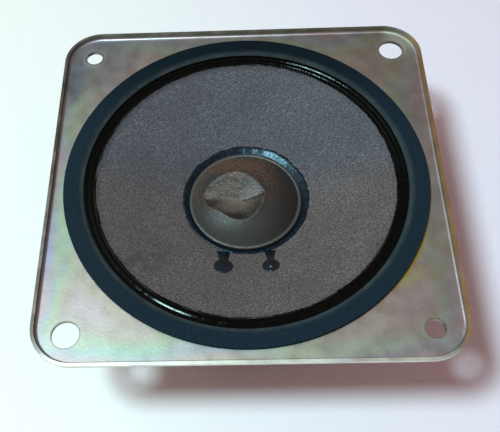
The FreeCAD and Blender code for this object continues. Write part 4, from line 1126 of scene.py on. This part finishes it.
def make_solder(coat):
    """Bright uneven beads of solder on the three tags."""
    low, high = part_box("solder_joints")
    reach = high.z - low.z
    for index, (name, keep) in enumerate((("input_solder", lambda spot: spot.x < -5 * MM),
                                          ("coil_solder", lambda spot: abs(spot.x) < 5 * MM),
                                          ("return_solder", lambda spot: spot.x > 5 * MM))):
        middle = middle_of("solder_joints", keep)

        def shift(angle, radius, level, seed=30.0 + index):
            return radius * (1 + 0.10 * ripple(angle, reach, 1.4 * MM, seed)), level

        def height(share):
            return reach * (0.04 + 0.92 * (0.5 + 0.5 * math.cos(math.pi * share)) ** 0.7)

        section = [(0, 0), (reach * 0.97, 0)]
        section += [(reach * 0.97 * share, height(share)) for share in steps(1, 0, 14) + [0]]
        bead = turned(name, section, turns=48, shift=shift)
        bead.data.transform(Matrix.Translation((middle.x, middle.y, low.z)))
        paint(bead, coat)
        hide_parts("solder_joints")
        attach(bead, "chassis")


def make_glue_bed(coat):
    """Lump of hot-melt glue that holds the capacitor to the magnet."""
    low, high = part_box("capacitor_glue")
    work = bmesh.new()
    bmesh.ops.create_cube(work, size=1.0)
    bmesh.ops.subdivide_edges(work, edges=work.edges, cuts=23, use_grid_fill=True)
    middle, span = (low + high) / 2, high - low
    for vertex in work.verts:
        spot = vertex.co * 2
        round_off = (abs(spot.x) ** 4 + abs(spot.y) ** 4 + abs(spot.z) ** 4) ** 0.25
        lump = 0.96 + 0.04 * noise.noise(vertex.co * 5)
        spot *= lump / max(round_off, 1e-6) * max(abs(spot.x), abs(spot.y), abs(spot.z))
        vertex.co = middle + Vector(a * b / 2 for a, b in zip(spot, span))
    bmesh.ops.recalc_face_normals(work, faces=work.faces)
    mesh = bpy.data.meshes.new("glue_bed")
    work.to_mesh(mesh)
    work.free()
    shade_smooth(mesh)
    bed = add_object("glue_bed", mesh)
    paint(bed, coat)
    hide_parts("capacitor_glue")
    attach(bed, "chassis")


# The pigtails' routes, in millimetres, from the back of each eyelet to its tag.
LEFT_ROUTE = [(-6.14, -21.54, 27.10), (-5.54, -22.94, 25.00), (-3.84, -25.74, 24.20),
              (-1.54, -28.94, 25.50), (0.0, -32.7, 27.0), (0.0, -35.0, 26.4)]
RIGHT_ROUTE = [(6.14, -21.54, 27.10), (6.84, -23.04, 25.10), (8.04, -25.94, 24.30),
               (9.54, -29.14, 25.50), (10.8, -32.8, 27.1), (11.0, -35.1, 26.4)]


# The whole scene ------------------------------

def paint_frame_nodes():
    """Give every node that stays its material."""
    plated = plating("zinc_chromate", (0.43, 0.41, 0.375), (0.60, 0.61, 0.57), flange=True)
    plates, brass = turned_steel(), tinned_brass()
    rivets = metal("rivet_steel", (0.34, 0.34, 0.32), (0.56, 0.56, 0.53), 0.34, 0.5 * MM, 0.00001)
    wire = metal("lead_wire", (0.48, 0.46, 0.42), (0.72, 0.70, 0.66), 0.28, 0.4 * MM, 0.000006)
    eyelets = metal("eyelet_brass", (0.50, 0.34, 0.13), (0.78, 0.57, 0.27), 0.3, 0.4 * MM, 0.000008)
    seals = grained("seal_rubber", (0.008, 0.008, 0.008), (0.025, 0.025, 0.026), 0.7, 0.3 * MM, 0.00003)
    finishes = {
        "basket_frame": plated, "back_plate": plates, "top_plate": plates, "pole_piece": plates,
        "magnet": ferrite(), "frame_rivets": rivets, "board_rivets": rivets, "tag_rivets": brass,
        "tag_board": phenolic(), "positive_tag": brass, "negative_tag": brass, "coil_tag": brass,
        "lead_eyelets": eyelets, "coil_former": kraft(), "coil_winding": copper_winding(),
        "capacitor_can": shrink_sleeve(), "capacitor_seals": seals,
        "capacitor_lead_input": wire, "capacitor_lead_coil": wire,
    }
    for name, coat in finishes.items():
        paint(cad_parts[name], coat)


def main():
    add_camera()
    add_lamp("key", (-0.27, -0.11, 0.70), 0.15, 6.0, (0.70, 0.97, 1.0))
    add_lamp("ceiling", (-0.42, 0.28, 0.80), 0.50, 0.55, (0.86, 1.0, 0.98))
    add_room()
    add_floor()
    paint_frame_nodes()
    make_gasket(felt())
    make_surround(dope())
    make_cone(pulp())
    make_cap(cap_paper())
    black = cement()
    make_bead(black)
    make_dab("left_dab", -1, 2.45 * MM, 1.05 * MM, 0.25 * MM, black)
    make_dab("right_dab", 1, 2.2 * MM, 0.8 * MM, 0.5 * MM, black)
    make_spider(spider_cloth())
    make_neck_fillet(grained("amber_cement", (0.16, 0.055, 0.010), (0.34, 0.15, 0.035), 0.2, 0.8 * MM,
                             0.00004, Coat_Weight=0.4))
    braid = tinsel_braid()
    make_pigtail("left_pigtail", "tinsel_lead_left", LEFT_ROUTE, braid)
    make_pigtail("right_pigtail", "tinsel_lead_right", RIGHT_ROUTE, braid)
    make_solder(metal("solder", (0.44, 0.44, 0.45), (0.74, 0.74, 0.75), 0.22, 0.5 * MM, 0.00002))
    make_glue_bed(grained("hot_melt", (0.50, 0.42, 0.26), (0.72, 0.64, 0.46), 0.35, 1.2 * MM, 0.00005,
                          Subsurface_Weight=0.25, Subsurface_Scale=0.002))


main()
